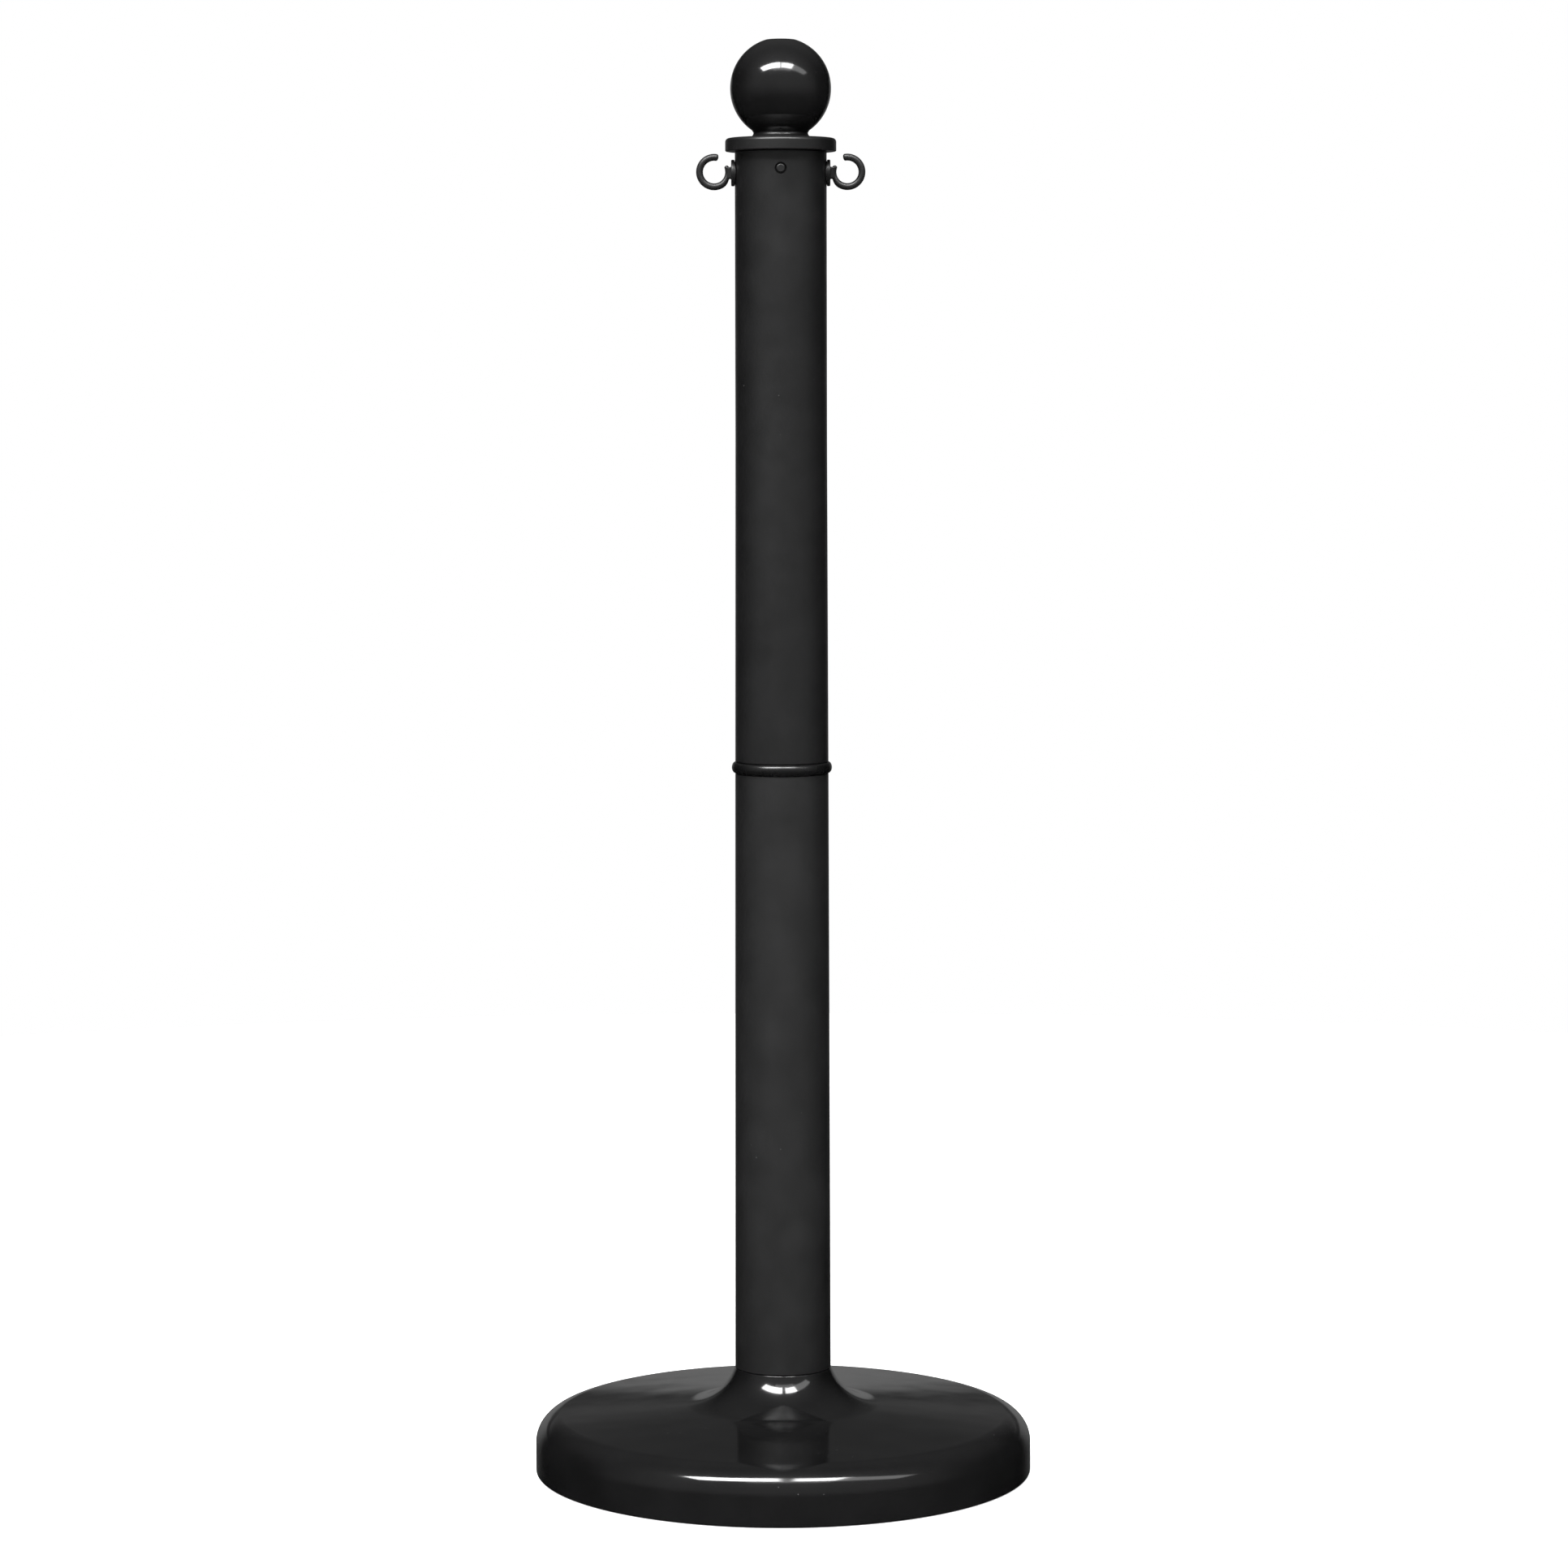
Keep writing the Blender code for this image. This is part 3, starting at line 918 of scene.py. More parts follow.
@dataclass
class FillStopper:
    """The push-in stopper over the ballast hole, a cup with sealing ribs and a bar to pull it by."""

    node: str = "fill_stopper"
    body: str = "stopper"
    slot: str = "stopper_plastic"
    body_radius: float = 0.0196
    wall: float = 0.0022
    flange: float = 0.0025
    rib_proud: float = 0.00018
    bar_width: float = 0.0040
    steps: int = 96

    def build(self) -> Piece:
        """Turn the cup and join the bar across it.

        Returns:
            The finished stopper.
        """
        extent = Extent.of(self.node)
        rim = extent.high.x
        low = extent.low.z
        high = extent.high.z
        seat = high - self.flange
        bore = self.body_radius - self.wall
        outline = Outline(0.0, low + self.wall)
        outline.line(bore, low + self.wall, soften=0.0012)
        outline.line(bore, high, soften=0.0006)
        outline.line(rim, high, soften=0.0009)
        outline.line(rim, seat, soften=0.0005)
        outline.line(self.body_radius, seat)
        for share in (0.34, 0.62):
            height = seat + (low - seat) * share
            outline.curve((self.body_radius, height), (self.rib_proud, 0.0006), 90.0, -90.0, 6)
        outline.line(self.body_radius, low + 0.0016, soften=0.0005)
        outline.line(self.body_radius - 0.0008, low, soften=0.0004)
        outline.line(0.0, low)
        piece = turn_solid("stopper_cup", outline, closed=False, steps=self.steps)
        bar = add_box((2 * bore + self.wall, self.bar_width, 0.0020), (0.0, 0.0, high - 0.0016))
        with editing(bar):
            pick("EDGE", lambda edge: abs(edge.verts[0].co.x - edge.verts[1].co.x) > bore)
            bpy.ops.mesh.bevel(offset=0.0006, segments=3)
        combine(piece, bar, "UNION")
        with editing(piece):
            tidy_mesh()
        smooth(piece)
        return piece

    def dress(self, piece: Piece) -> None:
        """Give the stopper its soft grey finish and its place."""
        hand_over(piece, self.node, self.body, SOFT_STOPPER.material())


# ---------------------------------------------------------------- post


@dataclass
class PostTube:
    """One length of the post: a long tube that tapers slightly, with eased ends."""

    name: str
    node: str
    body: str
    finish: MouldedPlastic
    slot: str = "post_satin"
    wall: float = 0.0026
    ease: float = 0.0005
    steps: int = 144
    row_pitch: float = 0.0300
    hook_height: float = 0.9268
    snap_height: float = 0.9282
    hole_radius: float = 0.0042
    hole_reach: float = 0.0075
    hole_pitch: float = 0.0015
    rim_ease: float = 0.00028

    def build(self) -> Piece:
        """Turn the tube and, at the top of the post, drill it for the hooks and the snap buttons.

        Returns:
            The finished tube.
        """
        extent = Extent.of(self.node)
        low = extent.low.z
        high = extent.high.z
        drilled = high > self.snap_height
        rows = self._rows(low, high, drilled)
        outline = Outline(POST_TAPER.at(high), high, soften=self.ease)
        for height in reversed(rows):
            outline.line(POST_TAPER.at(height), height)
        outline.line(POST_TAPER.at(low), low, soften=self.ease)
        outline.line(POST_TAPER.at(low) - self.wall, low)
        for height in rows:
            outline.line(POST_TAPER.at(height) - self.wall, height)
        outline.line(POST_TAPER.at(high) - self.wall, high)
        piece = turn_solid(self.name, outline, closed=True, steps=self.steps)
        if drilled:
            self._drill(piece, "X", self.hook_height)
            self._drill(piece, "Y", self.snap_height)
        smooth(piece)
        return piece

    def _rows(self, low: float, high: float, drilled: bool) -> list[float]:
        """Choose the heights of the tube's rows, close together at the holes.

        Args:
            low: The tube's lower end.
            high: Its upper end.
            drilled: Whether holes are drilled near its upper end.

        Returns:
            The heights, from low to high.
        """
        rows = {round(low + 0.0012, 6), round(high - 0.0012, 6)}
        count = int((high - low) / self.row_pitch)
        for index in range(1, count):
            rows.add(round(low + (high - low) * index / count, 6))
        rows.update(height for height, _ in POST_TAPER.stations if low < height < high)
        if drilled:
            first = self.hook_height - self.hole_reach
            last = self.snap_height + self.hole_reach
            rows = {height for height in rows if not first - 0.001 < height < last + 0.001}
            count = round((last - first) / self.hole_pitch)
            rows.update(round(first + (last - first) * index / count, 6) for index in range(count + 1))
            rows.add(round(high - 0.0012, 6))
        return sorted(rows)

    def _drill(self, piece: Piece, along: str, height: float) -> None:
        """Drill the tube through and ease the holes' outer rims.

        Args:
            piece: The tube.
            along: The axis that the drill follows, X or Y.
            height: The height of the holes.
        """
        across = 3 * POST_TAPER.at(height)
        combine(piece, add_rod(self.hole_radius, across, (0.0, 0.0, height), along), "DIFFERENCE")
        side = 1 if along == "X" else 0
        face = POST_TAPER.at(height)

        def on_rim(vert: bmesh.types.BMVert) -> bool:
            """Whether a vertex is on a hole's outer rim."""
            from_axis = math.hypot(vert.co[side], vert.co.z - height)
            return abs(from_axis - self.hole_radius) < 0.00003 and vert.co.xy.length > face - 0.0006

        with editing(piece):
            tidy_mesh()
            pick("EDGE", lambda edge: all(on_rim(vert) for vert in edge.verts))
            bpy.ops.mesh.bevel(offset=self.rim_ease, segments=2, clamp_overlap=True)

    def dress(self, piece: Piece) -> None:
        """Give the tube its satin finish and its place."""
        hand_over(piece, self.node, self.body, self.finish.material())


@dataclass
class Coupler:
    """The sleeve that joins the two tubes, with the bead that shows between them."""

    node: str = "coupler"
    body: str = "joiner"
    slot: str = "ring_satin"
    bead_height: float = 0.0077
    sleeve_low: float = 0.0302
    sleeve_high: float = 0.0299
    wall: float = 0.0023
    ribs: int = 10
    rib_depth: float = 0.00015
    steps: int = 160

    def build(self) -> Piece:
        """Turn the sleeve with its bead and raise the ribs that grip the tubes.

        Returns:
            The finished coupler.
        """
        extent = Extent.of(self.node)
        low = extent.low.z
        high = extent.high.z
        middle = (low + high) / 2
        face = POST_TAPER.at(middle)
        proud = extent.high.x - face
        bore = self.sleeve_high - self.wall
        half = self.bead_height / 2
        outline = Outline(bore, high, soften=0.0004)
        outline.line(self.sleeve_high, high, soften=0.0012)
        outline.line(self.sleeve_high, middle + half)
        outline.line(face - 0.0004, middle + half)
        outline.curve((face, middle), (proud, half), 88.0, -88.0, 20)
        outline.line(face - 0.0004, middle - half)
        outline.line(self.sleeve_low, middle - half)
        outline.line(self.sleeve_low, low, soften=0.0012)
        outline.line(bore, low, soften=0.0004)
        piece = turn_solid("post_coupler", outline, closed=True, steps=self.steps)
        with editing(piece):
            for rib in range(self.ribs):
                turn = FULL_TURN * (rib + 0.5) / self.ribs
                aim = Vector((math.cos(turn), math.sin(turn)))
                pick("FACE", lambda picked: self._on_sleeve(picked, aim, middle))
                bpy.ops.mesh.inset(thickness=0.00015, depth=self.rib_depth, use_individual=False)
        smooth(piece)
        return piece

    def _on_sleeve(self, face: bmesh.types.BMFace, aim: Vector, middle: float) -> bool:
        """Whether a face of the sleeve's outer wall lies in a direction from the axis."""
        place = face.calc_center_median()
        if face.normal.xy.length < 0.9 or abs(place.z - middle) < self.bead_height:
            return False
        if place.xy.length < self.sleeve_high - 0.0002 or face.normal.xy.dot(place.xy) < 0:
            return False
        return place.xy.normalized().dot(aim) > math.cos(FULL_TURN / self.steps)

    def dress(self, piece: Piece) -> None:
        """Give the coupler its satin finish and its place."""
        hand_over(piece, self.node, self.body, SATIN_RING.material())


# ---------------------------------------------------------------- top


@dataclass
class BallTop:
    """The hollow ball cap: flattened ball, neck, flange and a notched skirt inside the post."""

    node: str = "ball_top"
    body: str = "upper_post"
    slot: str = "cap_gloss"
    ball_radius: float = 0.0355
    ball_middle: float = 0.9850
    neck_radius: float = 0.0192
    neck_height: float = 0.9541
    neck_fillet: float = 0.0028
    crown_height: float = 0.9512
    flange_bottom: float = 0.9411
    flange_side_top: float = 0.9476
    flange_corner: float = 0.0027
    skirt_radius: float = 0.0293
    skirt_wall: float = 0.0020
    wall: float = 0.0022
    seam_half_width: float = 0.0008
    seam_proud: float = 0.00009
    seam_start: float = 0.0105
    slot_width: float = 0.0128
    slot_top: float = 0.9381
    notch_width: float = 0.0115
    notch_top: float = 0.9340
    steps: int = 160

    def build(self) -> Piece:
        """Turn the cap, raise its mould seam and cut its skirt.

        Returns:
            The finished cap, with its ball and its flange in their own finishes.
        """
        extent = Extent.of(self.node)
        piece = turn_solid("ball_cap", self._outline(extent), closed=False, steps=self.steps)
        self._raise_seam(piece)
        deep = extent.low.z - 0.004
        for size, top in (
            ((self.slot_width, 3 * self.skirt_radius), self.slot_top),
            ((3 * self.skirt_radius, self.notch_width), self.notch_top),
        ):
            cutter = add_box((*size, top - deep), (0.0, 0.0, (top + deep) / 2))
            combine(piece, cutter, "DIFFERENCE")
        with editing(piece):
            tidy_mesh()
        piece.data.materials.append(GLOSS_BALL.material())
        piece.data.materials.append(SATIN_FLANGE.material())
        with editing(piece):
            pick("FACE", lambda face: face.calc_center_median().z < self.neck_height)
            bpy.context.object.active_material_index = 1
            bpy.ops.object.material_slot_assign()
        smooth(piece)
        return piece

    def _outline(self, extent: Extent) -> Outline:
        """Draw the cap's section, down its outer side and back up inside.

        Args:
            extent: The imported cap's box.

        Returns:
            The outline, which starts and ends on the axis.
        """
        top = extent.high.z
        low = extent.low.z
        rise = math.degrees(math.asin((top - self.ball_middle) / self.ball_radius))
        fall = math.degrees(math.acos(self.neck_radius / self.ball_radius))
        hollow = self.ball_radius - self.wall
        throat = self.neck_radius - self.wall
        inner_fall = math.degrees(math.acos(throat / hollow))
        bore = self.skirt_radius - self.skirt_wall
        ceiling = self.crown_height - 2 * self.wall
        outline = Outline(0.0, top)
        outline.line(self.ball_radius * math.cos(math.radians(rise)), top, soften=0.0010)
        radii = (self.ball_radius, self.ball_radius)
        outline.curve((0.0, self.ball_middle), radii, rise - 2.8, 2.0 - fall, 40)
        outline.curve(
            (self.neck_radius + self.neck_fillet, self.neck_height),
            (self.neck_fillet, self.neck_height - self.crown_height),
            180.0,
            270.0,
            8,
        )
        outline.curve(
            (extent.high.x - self.flange_corner, self.flange_side_top),
            (self.flange_corner, self.flange_corner),
            84.0,
            0.0,
            10,
        )
        outline.line(extent.high.x, self.flange_bottom, soften=0.0007)
        outline.line(self.skirt_radius, self.flange_bottom)
        outline.line(self.skirt_radius, low, soften=0.0006)
        outline.line(bore, low)
        outline.line(bore, ceiling)
        outline.line(throat, ceiling)
        outline.curve((0.0, self.ball_middle), (hollow, hollow), -inner_fall, rise, 16)
        outline.line(0.0, top - self.wall)
        return outline

    def _raise_seam(self, piece: Piece) -> None:
        """Raise the fine upright mould seam over the front and back of the ball."""

        def on_seam(vert: bmesh.types.BMVert) -> bool:
            """Whether a vertex is on the ball's outer face in the seam's plane."""
            outward = Vector((vert.co.y, vert.co.z - self.ball_middle)).length
            on_ball = abs(outward - self.ball_radius) < 0.0006 and vert.co.z > self.neck_height + 0.001
            return abs(vert.co.x) < 0.00001 and on_ball and abs(vert.co.y) > self.seam_start

        with editing(piece):
            pick("EDGE", lambda edge: all(on_seam(vert) for vert in edge.verts))
            bpy.ops.mesh.bevel(offset=self.seam_half_width, segments=2, affect="EDGES")
            pick("VERT", on_seam)
            bpy.ops.transform.shrink_fatten(value=self.seam_proud)
            bpy.ops.mesh.select_all(action="SELECT")
            bpy.ops.mesh.normals_make_consistent(inside=False)

    def dress(self, piece: Piece) -> None:
        """Put the cap in its place; its faces already have their finishes."""
        hand_over(piece, self.node, self.body, piece.data.materials[0])


@dataclass
class SnapTongue:
    """A springy tongue of the cap's skirt, with the domed button that snaps into the post."""

    facing: Facing
    name: str
    node: str
    body: str
    slot: str = "cap_gloss"
    outer_radius: float = 0.0293
    wall: float = 0.0020
    width: float = 0.0120
    button_height: float = 0.9282
    button_radius: float = 0.0031
    button_reach: float = 0.0319
    dome: float = 0.0009
    steps: int = 16

    def build(self) -> Piece:
        """Turn the tongue's curved strip and join the button.

        Returns:
            The finished tongue.
        """
        extent = Extent.of(self.node)
        bore = self.outer_radius - self.wall
        outline = Outline(self.outer_radius, extent.high.z)
        outline.line(self.outer_radius, extent.low.z, soften=0.0006)
        outline.line(bore, extent.low.z, soften=0.0003)
        outline.line(bore, extent.high.z)
        sweep = 2.0 * math.asin(self.width / 2 / self.outer_radius)
        half_turn = self.facing.value * math.pi / 2
        piece = turn_solid(
            self.name, outline, closed=True, steps=self.steps, sweep=sweep, start=half_turn + sweep / 2
        )
        combine(piece, self._button(bore), "UNION")
        with editing(piece):
            tidy_mesh()
            pick("EDGE", lambda edge: edge.calc_face_angle(0.0) > math.radians(60.0))
            bpy.ops.mesh.bevel(offset=0.00018, segments=2, clamp_overlap=True)
        smooth(piece)
        return piece

    def _button(self, bore: float) -> Piece:
        """Make the button, with its outer face domed.

        Args:
            bore: The strip's inner radius, past which the button doesn't go.

        Returns:
            The button, pointing outwards.
        """
        foot = bore + self.wall / 2
        reach = self.button_reach
        middle = (0.0, self.facing.value * (foot + reach) / 2, self.button_height)
        button = add_rod(self.button_radius, reach - foot, middle, "Y")
        outer = self.facing.value * reach
        with editing(button):
            pick("EDGE", lambda edge: all(abs(vert.co.y - outer) < 0.00001 for vert in edge.verts))
            bpy.ops.mesh.bevel(offset=self.dome, segments=6)
        return button

    def dress(self, piece: Piece) -> None:
        """Give the tongue the hooks' satin finish and its place."""
        hand_over(piece, self.node, self.body, SATIN_HOOK.material())


@dataclass
class RopeHook:
    """An open ring hook with its web, its round plate against the post and its split stem.

    Angles are in degrees about the ring's centre, from outwards through up.
    """

    slot: str = "hook_satin"
    body: str = "upper_post"
    height: float = 0.9268
    centre: float = 0.04685
    wire_radius: float = 0.00245
    line_radius: float = 0.0103
    arm_radius: float = 0.0093
    arm_thinning: float = 0.66
    open_end: float = 100.0
    thinning_start: float = -120.0
    thinning_end: float = -180.0
    arm_end: float = -201.0
    plate_height: float = 0.9261
    plate_radius: float = 0.0093
    plate_face: float = 0.0349
    web_height: float = 0.0084
    web_width: float = 0.0046
    stem_radius: float = 0.0039
    barb_radius: float = 0.0048
    barb_start: float = 0.0290
    barb_end: float = 0.0246
    barb_slot: float = 0.0018
    grain: float = 0.00028
    melt: int = 7

    def build(self) -> Piece:
        """Model the right-hand hook: ring, plate, web and stem, melted into one moulding.

        Returns:
            The finished hook.
        """
        piece = self._ring()
        seat = POST_TAPER.at(self.plate_height) + WALL_GAP
        steps = (
            (self._web(), "UNION"),
            (self._plate(seat), "UNION"),
            (add_rod(seat, 0.05, (0.0, 0.0, self.plate_height), "Z"), "DIFFERENCE"),
            (self._rod_between(self.barb_start - 0.001, self.plate_face - 0.0005, self.stem_radius), "UNION"),
            (self._barb(), "UNION"),
            (self._slit(seat), "DIFFERENCE"),
        )
        for tool, operation in steps:
            combine(piece, tool, operation)
        self._melt(piece)
        return piece

    def _place(self, degrees: float, radius: float) -> Triple:
        """The point on the ring's line at an angle."""
        turn = math.radians(degrees)
        return (self.centre + radius * math.cos(turn), 0.0, self.height + radius * math.sin(turn))

    def _ring(self) -> Piece:
        """Model the open ring: a round section spun, then drawn thinner up beside the post.

        Returns:
            The ring, with both ends rounded.
        """
        deselect_all()
        bpy.ops.mesh.primitive_circle_add(
            vertices=32,
            radius=self.wire_radius,
            fill_type="NGON",
            location=(self.centre + self.line_radius, 0.0, self.height),
        )
        ring = bpy.context.object
        ring.name = "hook_moulding"
        bpy.ops.object.transform_apply(location=True, rotation=True, scale=True)
        pivot = (self.centre, 0.0, self.height)
        with editing(ring):
            bpy.ops.mesh.select_all(action="SELECT")
            bpy.ops.transform.rotate(
                value=math.radians(self.open_end), orient_axis="Y", center_override=pivot
            )
            sweep = math.radians(self.thinning_start - self.open_end)
            bpy.ops.mesh.spin(steps=44, angle=sweep, center=pivot, axis=(0.0, 1.0, 0.0))
            self._draw_arm(pivot)
            self._round_end(self.arm_end, self.arm_radius, -1.0, 0.75 * self.wire_radius * self.arm_thinning)
            start = Vector(self._place(self.open_end, self.line_radius))
            pick("FACE", lambda face: (face.calc_center_median() - start).length < 0.0002)
            self._round_end(self.open_end, self.line_radius, 1.0, 0.5 * self.wire_radius)
            tidy_mesh()
        return ring

    def _draw_arm(self, pivot: Triple) -> None:
        """Draw the ring's section on and thinner up the arm, in edit mode.

        Args:
            pivot: The ring's centre.
        """
        stops = 24
        last_radius = self.line_radius
        last_scale = 1.0
        step = (self.arm_end - self.thinning_start) / stops
        for stop in range(1, stops + 1):
            degrees = self.thinning_start + step * stop
            share = min((self.thinning_start - degrees) / (self.thinning_start - self.thinning_end), 1.0)
            share = share * share * (3.0 - 2.0 * share)
            radius = self.line_radius + (self.arm_radius - self.line_radius) * share
            scale = 1.0 + (self.arm_thinning - 1.0) * share
            bpy.ops.mesh.extrude_region()
            bpy.ops.transform.rotate(value=math.radians(step), orient_axis="Y", center_override=pivot)
            here = Vector(self._place(degrees, last_radius))
            there = Vector(self._place(degrees, radius))
            bpy.ops.transform.translate(value=tuple(there - here))
            ratio = scale / last_scale
            bpy.ops.transform.resize(value=(ratio, ratio, ratio), center_override=tuple(there))
            last_radius = radius
            last_scale = scale

    def _round_end(self, degrees: float, radius: float, way: float, depth: float) -> None:
        """Draw a domed end out from the selected end face, in edit mode.

        Args:
            degrees: The end's angle.
            radius: The end's distance from the ring's centre.
            way: 1 where the angle grows outwards from the end, or -1.
            depth: How far the dome stands out.
        """
        turn = math.radians(degrees)
        along = Vector((-math.sin(turn), 0.0, math.cos(turn))) * way
        middle = Vector(self._place(degrees, radius))
        last_lift = 0.0
        last_scale = 1.0
        rings = 6
        for ring in range(1, rings + 1):
            angle = math.radians(84.0 * ring / rings)
            lift = depth * math.sin(angle)
            scale = math.cos(angle)
            bpy.ops.mesh.extrude_region()
            bpy.ops.transform.translate(value=tuple(along * (lift - last_lift)))
            ratio = scale / last_scale
            centre = tuple(middle + along * lift)
            bpy.ops.transform.resize(value=(ratio, ratio, ratio), center_override=centre)
            last_lift = lift
            last_scale = scale

    def _web(self) -> Piece:
        """Make the flat web between the plate and the arm, with its long edges eased."""
        start = self.plate_face - 0.0005
        end = self.centre - self.arm_radius
        middle = ((start + end) / 2, 0.0, self.plate_height)
        web = add_box((end - start, self.web_width, self.web_height), middle)
        with editing(web):
            pick("EDGE", lambda edge: abs(edge.verts[0].co.x - edge.verts[1].co.x) > 0.0005)
            bpy.ops.mesh.bevel(offset=0.0009, segments=4)
        return web

    def _plate(self, seat: float) -> Piece:
        """Make the round plate, with its outer rim eased.

        Args:
            seat: The radius of the post's face, where the plate lies against it.

        Returns:
            The plate, before it is hollowed to the post.
        """
        back = seat - 0.004
        middle = ((self.plate_face + back) / 2, 0.0, self.plate_height)
        plate = add_rod(self.plate_radius, self.plate_face - back, middle, "X")
        with editing(plate):
            pick("EDGE", lambda edge: all(vert.co.x > self.plate_face - 0.0001 for vert in edge.verts))
            bpy.ops.mesh.bevel(offset=0.0006, segments=4)
        return plate

    def _rod_between(self, start: float, end: float, radius: float) -> Piece:
        """Make a rod along X at the ring's height."""
        return add_rod(radius, end - start, ((start + end) / 2, 0.0, self.height), "X")

    def _barb(self) -> Piece:
        """Make the stem's barbed end, wider on the post's side."""
        middle = ((self.barb_start + self.barb_end) / 2, 0.0, self.height)
        return add_rod(
            self.stem_radius - 0.001, self.barb_start - self.barb_end, middle, "X", self.barb_radius
        )

    def _slit(self, seat: float) -> Piece:
        """Make the cutter that splits the stem, so that its barbs can spring."""
        start = self.barb_end - 0.001
        end = seat - 0.0026
        middle = ((start + end) / 2, 0.0, self.height)
        return add_box((end - start, 3 * self.barb_radius, self.barb_slot), middle)

    def _melt(self, piece: Piece) -> None:
        """Melt the joined shapes into one moulding with soft inner corners."""
        remesh = piece.modifiers.new("melt", "REMESH")
        remesh.mode = "VOXEL"
        remesh.voxel_size = self.grain
        remesh.use_smooth_shade = True
        apply_modifier(piece, remesh)
        soften = piece.modifiers.new("soften", "SMOOTH")
        soften.factor = 0.5
        soften.iterations = self.melt
        apply_modifier(piece, soften)
        make_active(piece)
        bpy.ops.object.shade_smooth()

    def dress(self, piece: Piece, node: str) -> None:
        """Give a hook its satin finish and its place."""
        hand_over(piece, node, self.body, SATIN_HOOK.material())


# ---------------------------------------------------------------- studio


@dataclass(frozen=True)
class Softbox:
    """A rectangular softbox that hangs level overhead and faces straight down."""

    name: str
    place: Triple
    width: float
    depth: float
    radiance: float

    def hang(self) -> None:
        """Hang the softbox."""
        light = bpy.data.lights.new(self.name, "AREA")
        light.shape = "RECTANGLE"
        light.size = self.width
        light.size_y = self.depth
        light.energy = self.radiance * math.pi * self.width * self.depth
        holder = bpy.data.objects.new(self.name, light)
        holder.location = self.place
        bpy.context.scene.collection.objects.link(holder)


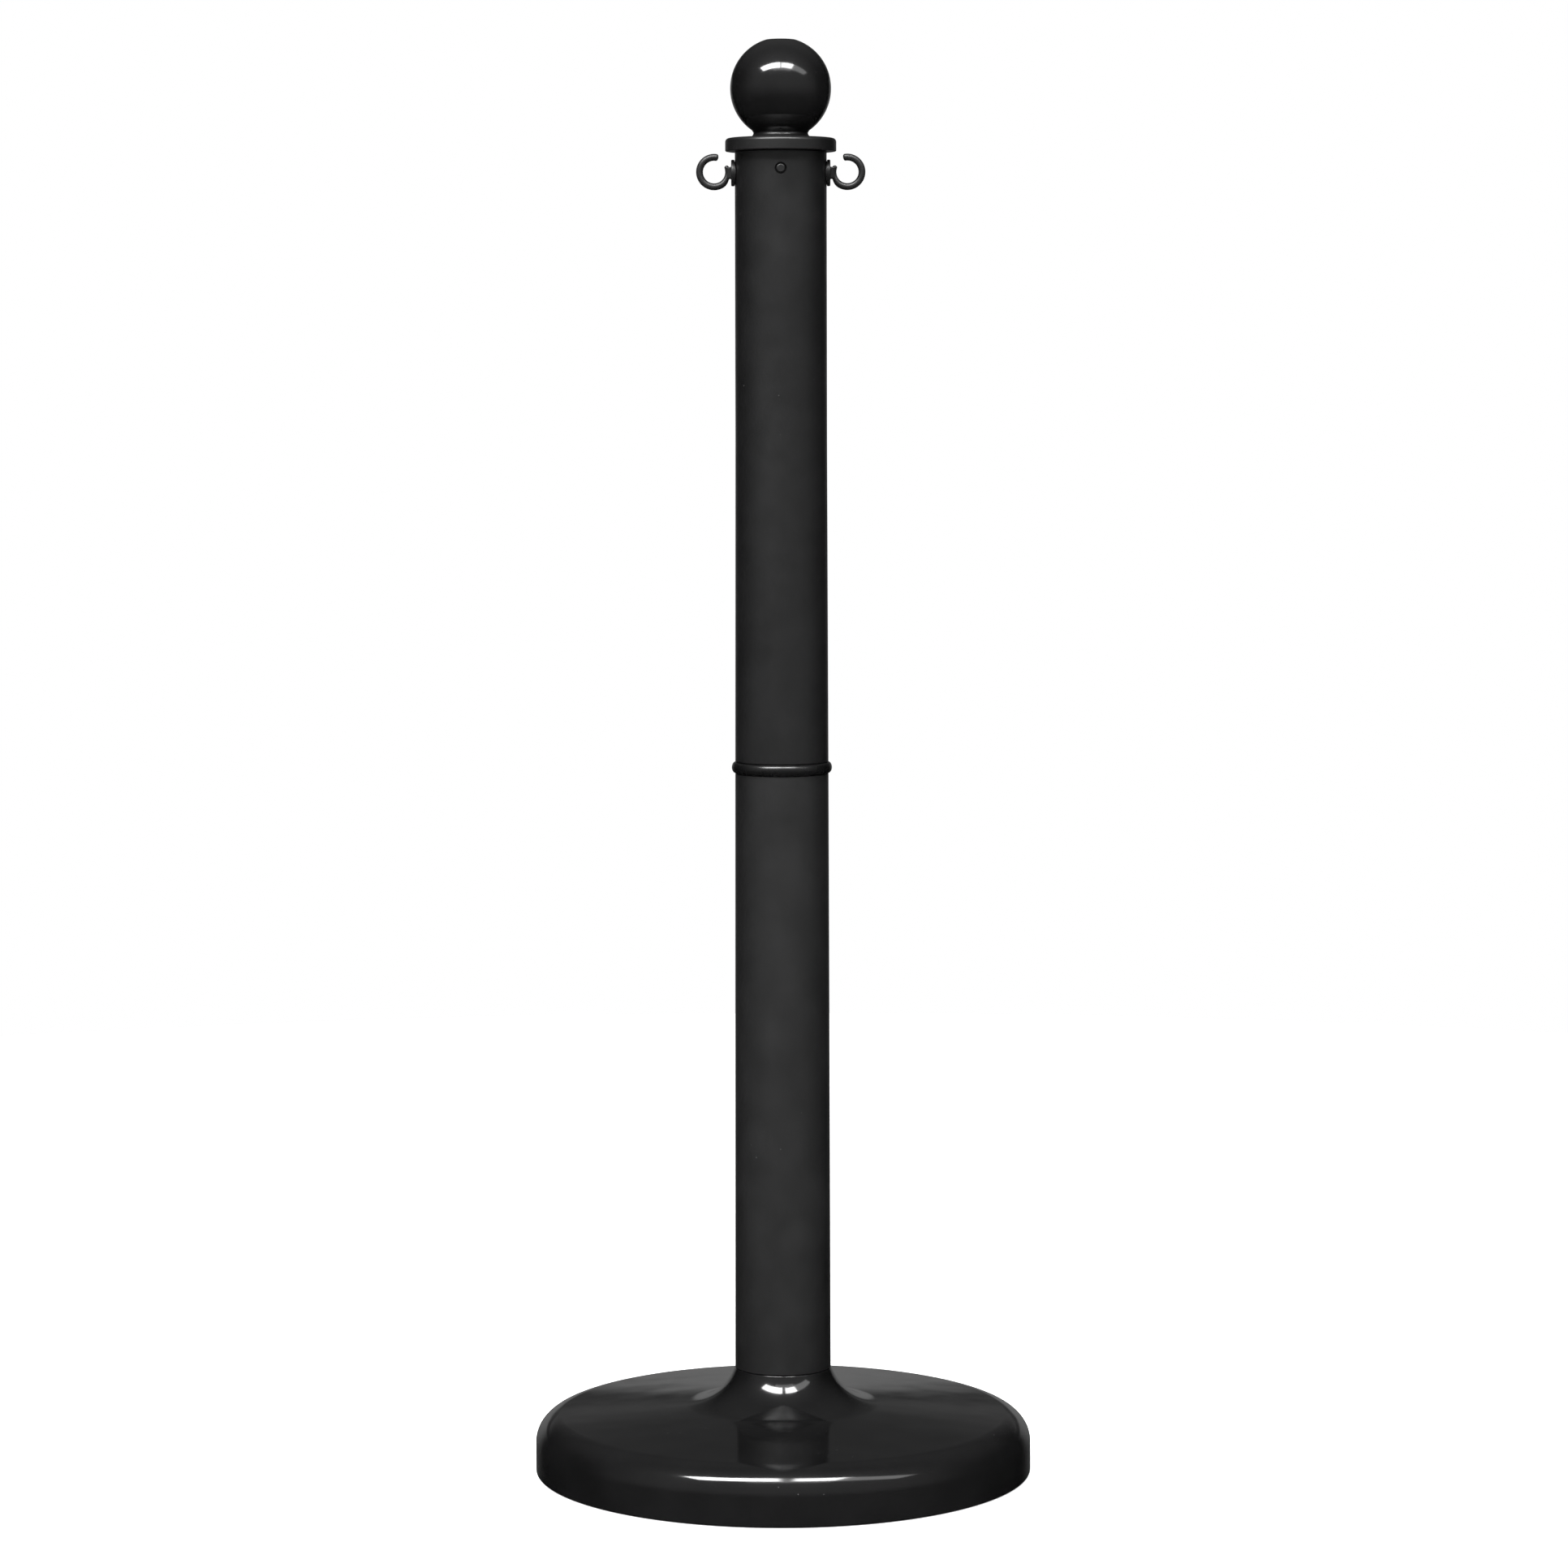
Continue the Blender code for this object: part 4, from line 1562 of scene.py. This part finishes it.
@dataclass(frozen=True)
class Room:
    """The dim room round the post, which shows only in its reflections; the view past it is white.

    Levels are radiances. A direction's rise is the sine of its elevation, and its facing is 1
    straight towards the camera's side and -1 straight away from it.
    """

    front_level: float = 0.41
    front_facing: Point = (-0.25, 0.65)
    front_rise: Point = (-0.45, 0.20)
    back_level: float = 0.07
    back_facing: Point = (0.80, 0.97)
    ceiling_level: float = 0.20
    ceiling_rise: Point = (0.20, 0.95)
    far_facing: Point = (0.80, 0.95)
    far_wall: tuple[Point, ...] = (
        (0.360, 0.00),
        (0.430, 0.15),
        (0.500, 0.26),
        (0.566, 0.32),
        (0.572, 0.00),
        (0.598, 0.00),
        (0.604, 0.14),
        (0.622, 0.05),
        (0.650, 0.00),
    )

    def build(self) -> None:
        """Make the room's light as the scene's world."""
        world = bpy.data.worlds.new("studio_room")
        bpy.context.scene.world = world
        world.use_nodes = True
        tree = world.node_tree
        tree.nodes.clear()
        place = tree.nodes.new("ShaderNodeTexCoord")
        split = tree.nodes.new("ShaderNodeSeparateXYZ")
        tree.links.new(place.outputs["Generated"], split.inputs["Vector"])
        away = split.outputs["Y"]
        rise = split.outputs["Z"]
        facing = self._math(tree, "MULTIPLY", away, -1.0)
        front = self._math(
            tree,
            "MULTIPLY",
            self._ease(tree, facing, self.front_facing, self.front_level),
            self._ease(tree, rise, self.front_rise, 1.0),
        )
        back = self._math(
            tree,
            "MULTIPLY",
            self._ease(tree, away, self.back_facing, self.back_level),
            self._ease(tree, rise, self.front_rise, 1.0),
        )
        far = self._math(
            tree, "MULTIPLY", self._wall(tree, rise), self._ease(tree, away, self.far_facing, 1.0)
        )
        ceiling = self._ease(tree, rise, self.ceiling_rise, self.ceiling_level)
        total = self._math(tree, "ADD", self._math(tree, "ADD", front, back), far)
        total = self._math(tree, "ADD", total, ceiling)
        room = tree.nodes.new("ShaderNodeBackground")
        tree.links.new(total, room.inputs["Strength"])
        white = tree.nodes.new("ShaderNodeBackground")
        white.inputs["Color"].default_value = (1.0, 1.0, 1.0, 1.0)
        seen = tree.nodes.new("ShaderNodeLightPath")
        mix = tree.nodes.new("ShaderNodeMixShader")
        output = tree.nodes.new("ShaderNodeOutputWorld")
        tree.links.new(seen.outputs["Is Camera Ray"], mix.inputs["Fac"])
        tree.links.new(room.outputs["Background"], mix.inputs[1])
        tree.links.new(white.outputs["Background"], mix.inputs[2])
        tree.links.new(mix.outputs["Shader"], output.inputs["Surface"])

    def _math(
        self,
        tree: bpy.types.NodeTree,
        operation: str,
        first: Socket,
        second: Socket | float,
    ) -> Socket:
        """Add a Math node.

        Args:
            tree: The world's node tree.
            operation: The node's operation.
            first: Its first value.
            second: Its second value, a socket or a number.

        Returns:
            The result.
        """
        node = tree.nodes.new("ShaderNodeMath")
        node.operation = operation
        tree.links.new(first, node.inputs[0])
        if isinstance(second, float):
            node.inputs[1].default_value = second
        else:
            tree.links.new(second, node.inputs[1])
        return node.outputs["Value"]

    def _ease(
        self, tree: bpy.types.NodeTree, value: Socket, span: Point, level: float
    ) -> Socket:
        """Rise smoothly from nothing to a level over a span of a value.

        Args:
            tree: The world's node tree.
            value: The value.
            span: Where the rise starts and ends.
            level: The level at its end.

        Returns:
            The eased level.
        """
        node = tree.nodes.new("ShaderNodeMapRange")
        node.interpolation_type = "SMOOTHSTEP"
        node.inputs["From Min"].default_value = span[0]
        node.inputs["From Max"].default_value = span[1]
        node.inputs["To Max"].default_value = level
        tree.links.new(value, node.inputs["Value"])
        return node.outputs["Result"]

    def _wall(self, tree: bpy.types.NodeTree, rise: Socket) -> Socket:
        """Light the far wall by its height.

        Args:
            tree: The world's node tree.
            rise: The direction's rise, from -1 to 1.

        Returns:
            The wall's level.
        """
        share = tree.nodes.new("ShaderNodeMapRange")
        share.inputs["From Min"].default_value = -1.0
        tree.links.new(rise, share.inputs["Value"])
        ramp = tree.nodes.new("ShaderNodeValToRGB")
        elements = ramp.color_ramp.elements
        while len(elements) < len(self.far_wall):
            elements.new(0.5)
        for element, (position, level) in zip(elements, self.far_wall):
            element.position = position
            element.color = (level, level, level, 1.0)
        tree.links.new(share.outputs["Result"], ramp.inputs["Fac"])
        return ramp.outputs["Color"]


@dataclass
class Studio:
    """A pale floor, plain softboxes in a dim room, and the camera."""

    camera_place: Triple = (0.00147, -3.27, 0.78)
    camera_pitch: float = math.radians(4.988)
    camera_roll: float = math.radians(0.109)
    lens: float = 105.90
    floor_radius: float = 2.4
    floor_drop: float = 0.0004
    floor_glow: float = 0.60
    boxes: tuple[Softbox, ...] = (
        Softbox("left_softbox", (-1.84, -2.88, 4.42), 3.38, 1.34, 38.0),
        Softbox("middle_softbox", (1.18, -2.88, 4.42), 1.67, 1.25, 32.0),
        Softbox("right_softbox", (4.09, -3.05, 4.42), 4.19, 1.63, 3.0),
        Softbox("front_softbox", (0.31, -3.88, 4.42), 3.57, 1.02, 2.2),
    )
    room: Room = field(default_factory=Room)

    def build(self) -> None:
        """Set up the camera, lights, surroundings and floor."""
        self._camera()
        for box in self.boxes:
            box.hang()
        self.room.build()
        self._floor()
        bpy.context.scene.view_settings.view_transform = "Standard"

    def _camera(self) -> None:
        """Place the camera at the height of the post's upper half, looking slightly down."""
        data = bpy.data.cameras.new("studio_camera")
        data.sensor_width = 36.0
        data.lens = self.lens
        camera = bpy.data.objects.new("studio_camera", data)
        camera.location = self.camera_place
        camera.rotation_mode = "QUATERNION"
        level = Quaternion((1.0, 0.0, 0.0), math.pi / 2 - self.camera_pitch)
        camera.rotation_quaternion = level @ Quaternion((0.0, 0.0, 1.0), -self.camera_roll)
        bpy.context.scene.collection.objects.link(camera)
        bpy.context.scene.camera = camera

    def _floor(self) -> None:
        """Lay a round pale floor just under the base."""
        deselect_all()
        bpy.ops.mesh.primitive_circle_add(
            vertices=128, radius=self.floor_radius, fill_type="NGON", location=(0.0, 0.0, -self.floor_drop)
        )
        floor = bpy.context.object
        floor.name = "studio_floor"
        bpy.ops.object.transform_apply(location=True, rotation=True, scale=True)
        material = bpy.data.materials.new("pale_floor")
        material.use_nodes = True
        tree = material.node_tree
        shader = tree.nodes["Principled BSDF"]
        shader.inputs["Roughness"].default_value = 0.85
        shader.inputs["Specular IOR Level"].default_value = 0.1
        shader.inputs["Emission Color"].default_value = (1.0, 1.0, 1.0, 1.0)
        shader.inputs["Emission Strength"].default_value = self.floor_glow
        place = tree.nodes.new("ShaderNodeTexCoord")
        noise = tree.nodes.new("ShaderNodeTexNoise")
        noise.inputs["Scale"].default_value = 3.0
        tree.links.new(place.outputs["Object"], noise.inputs["Vector"])
        ramp = tree.nodes.new("ShaderNodeValToRGB")
        ramp.color_ramp.elements[0].color = (0.84, 0.84, 0.84, 1.0)
        ramp.color_ramp.elements[1].color = (0.90, 0.90, 0.90, 1.0)
        tree.links.new(noise.outputs["Fac"], ramp.inputs["Fac"])
        tree.links.new(ramp.outputs["Color"], shader.inputs["Base Color"])
        floor.data.materials.append(material)
        floor.visible_glossy = False


# ---------------------------------------------------------------- assembly


def build_stanchion() -> None:
    """Build and dress every piece of the stanchion, from the floor up."""
    sections = (
        BaseCover(),
        BasePan(),
        FillStopper(),
        PostTube("lower_post_tube", "lower_tube", "lower_post", SATIN_POST),
        Coupler(),
        # The upper tube's darker satin colour is painted shade.
        PostTube("upper_post_tube", "upper_tube", "upper_post", SATIN_UPPER_POST_PAINTED_SHADE),
        BallTop(),
        SnapTongue(Facing.FRONT, "front_snap", "snap_tongue_front", "front_tongue"),
        SnapTongue(Facing.BACK, "back_snap", "snap_tongue_back", "back_tongue"),
    )
    for section in sections:
        section.dress(section.build())
    hook = RopeHook()
    right = hook.build()
    left = duplicate(right, "left_rope_hook", Side.LEFT.value)
    right.name = "right_rope_hook"
    hook.dress(right, "hook_right")
    hook.dress(left, "hook_left")


def main() -> None:
    """Build the stanchion and its studio."""
    logging.basicConfig(level=logging.INFO, format="%(name)s: %(message)s")
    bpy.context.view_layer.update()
    build_stanchion()
    Studio().build()


if __name__ == "__main__":
    main()
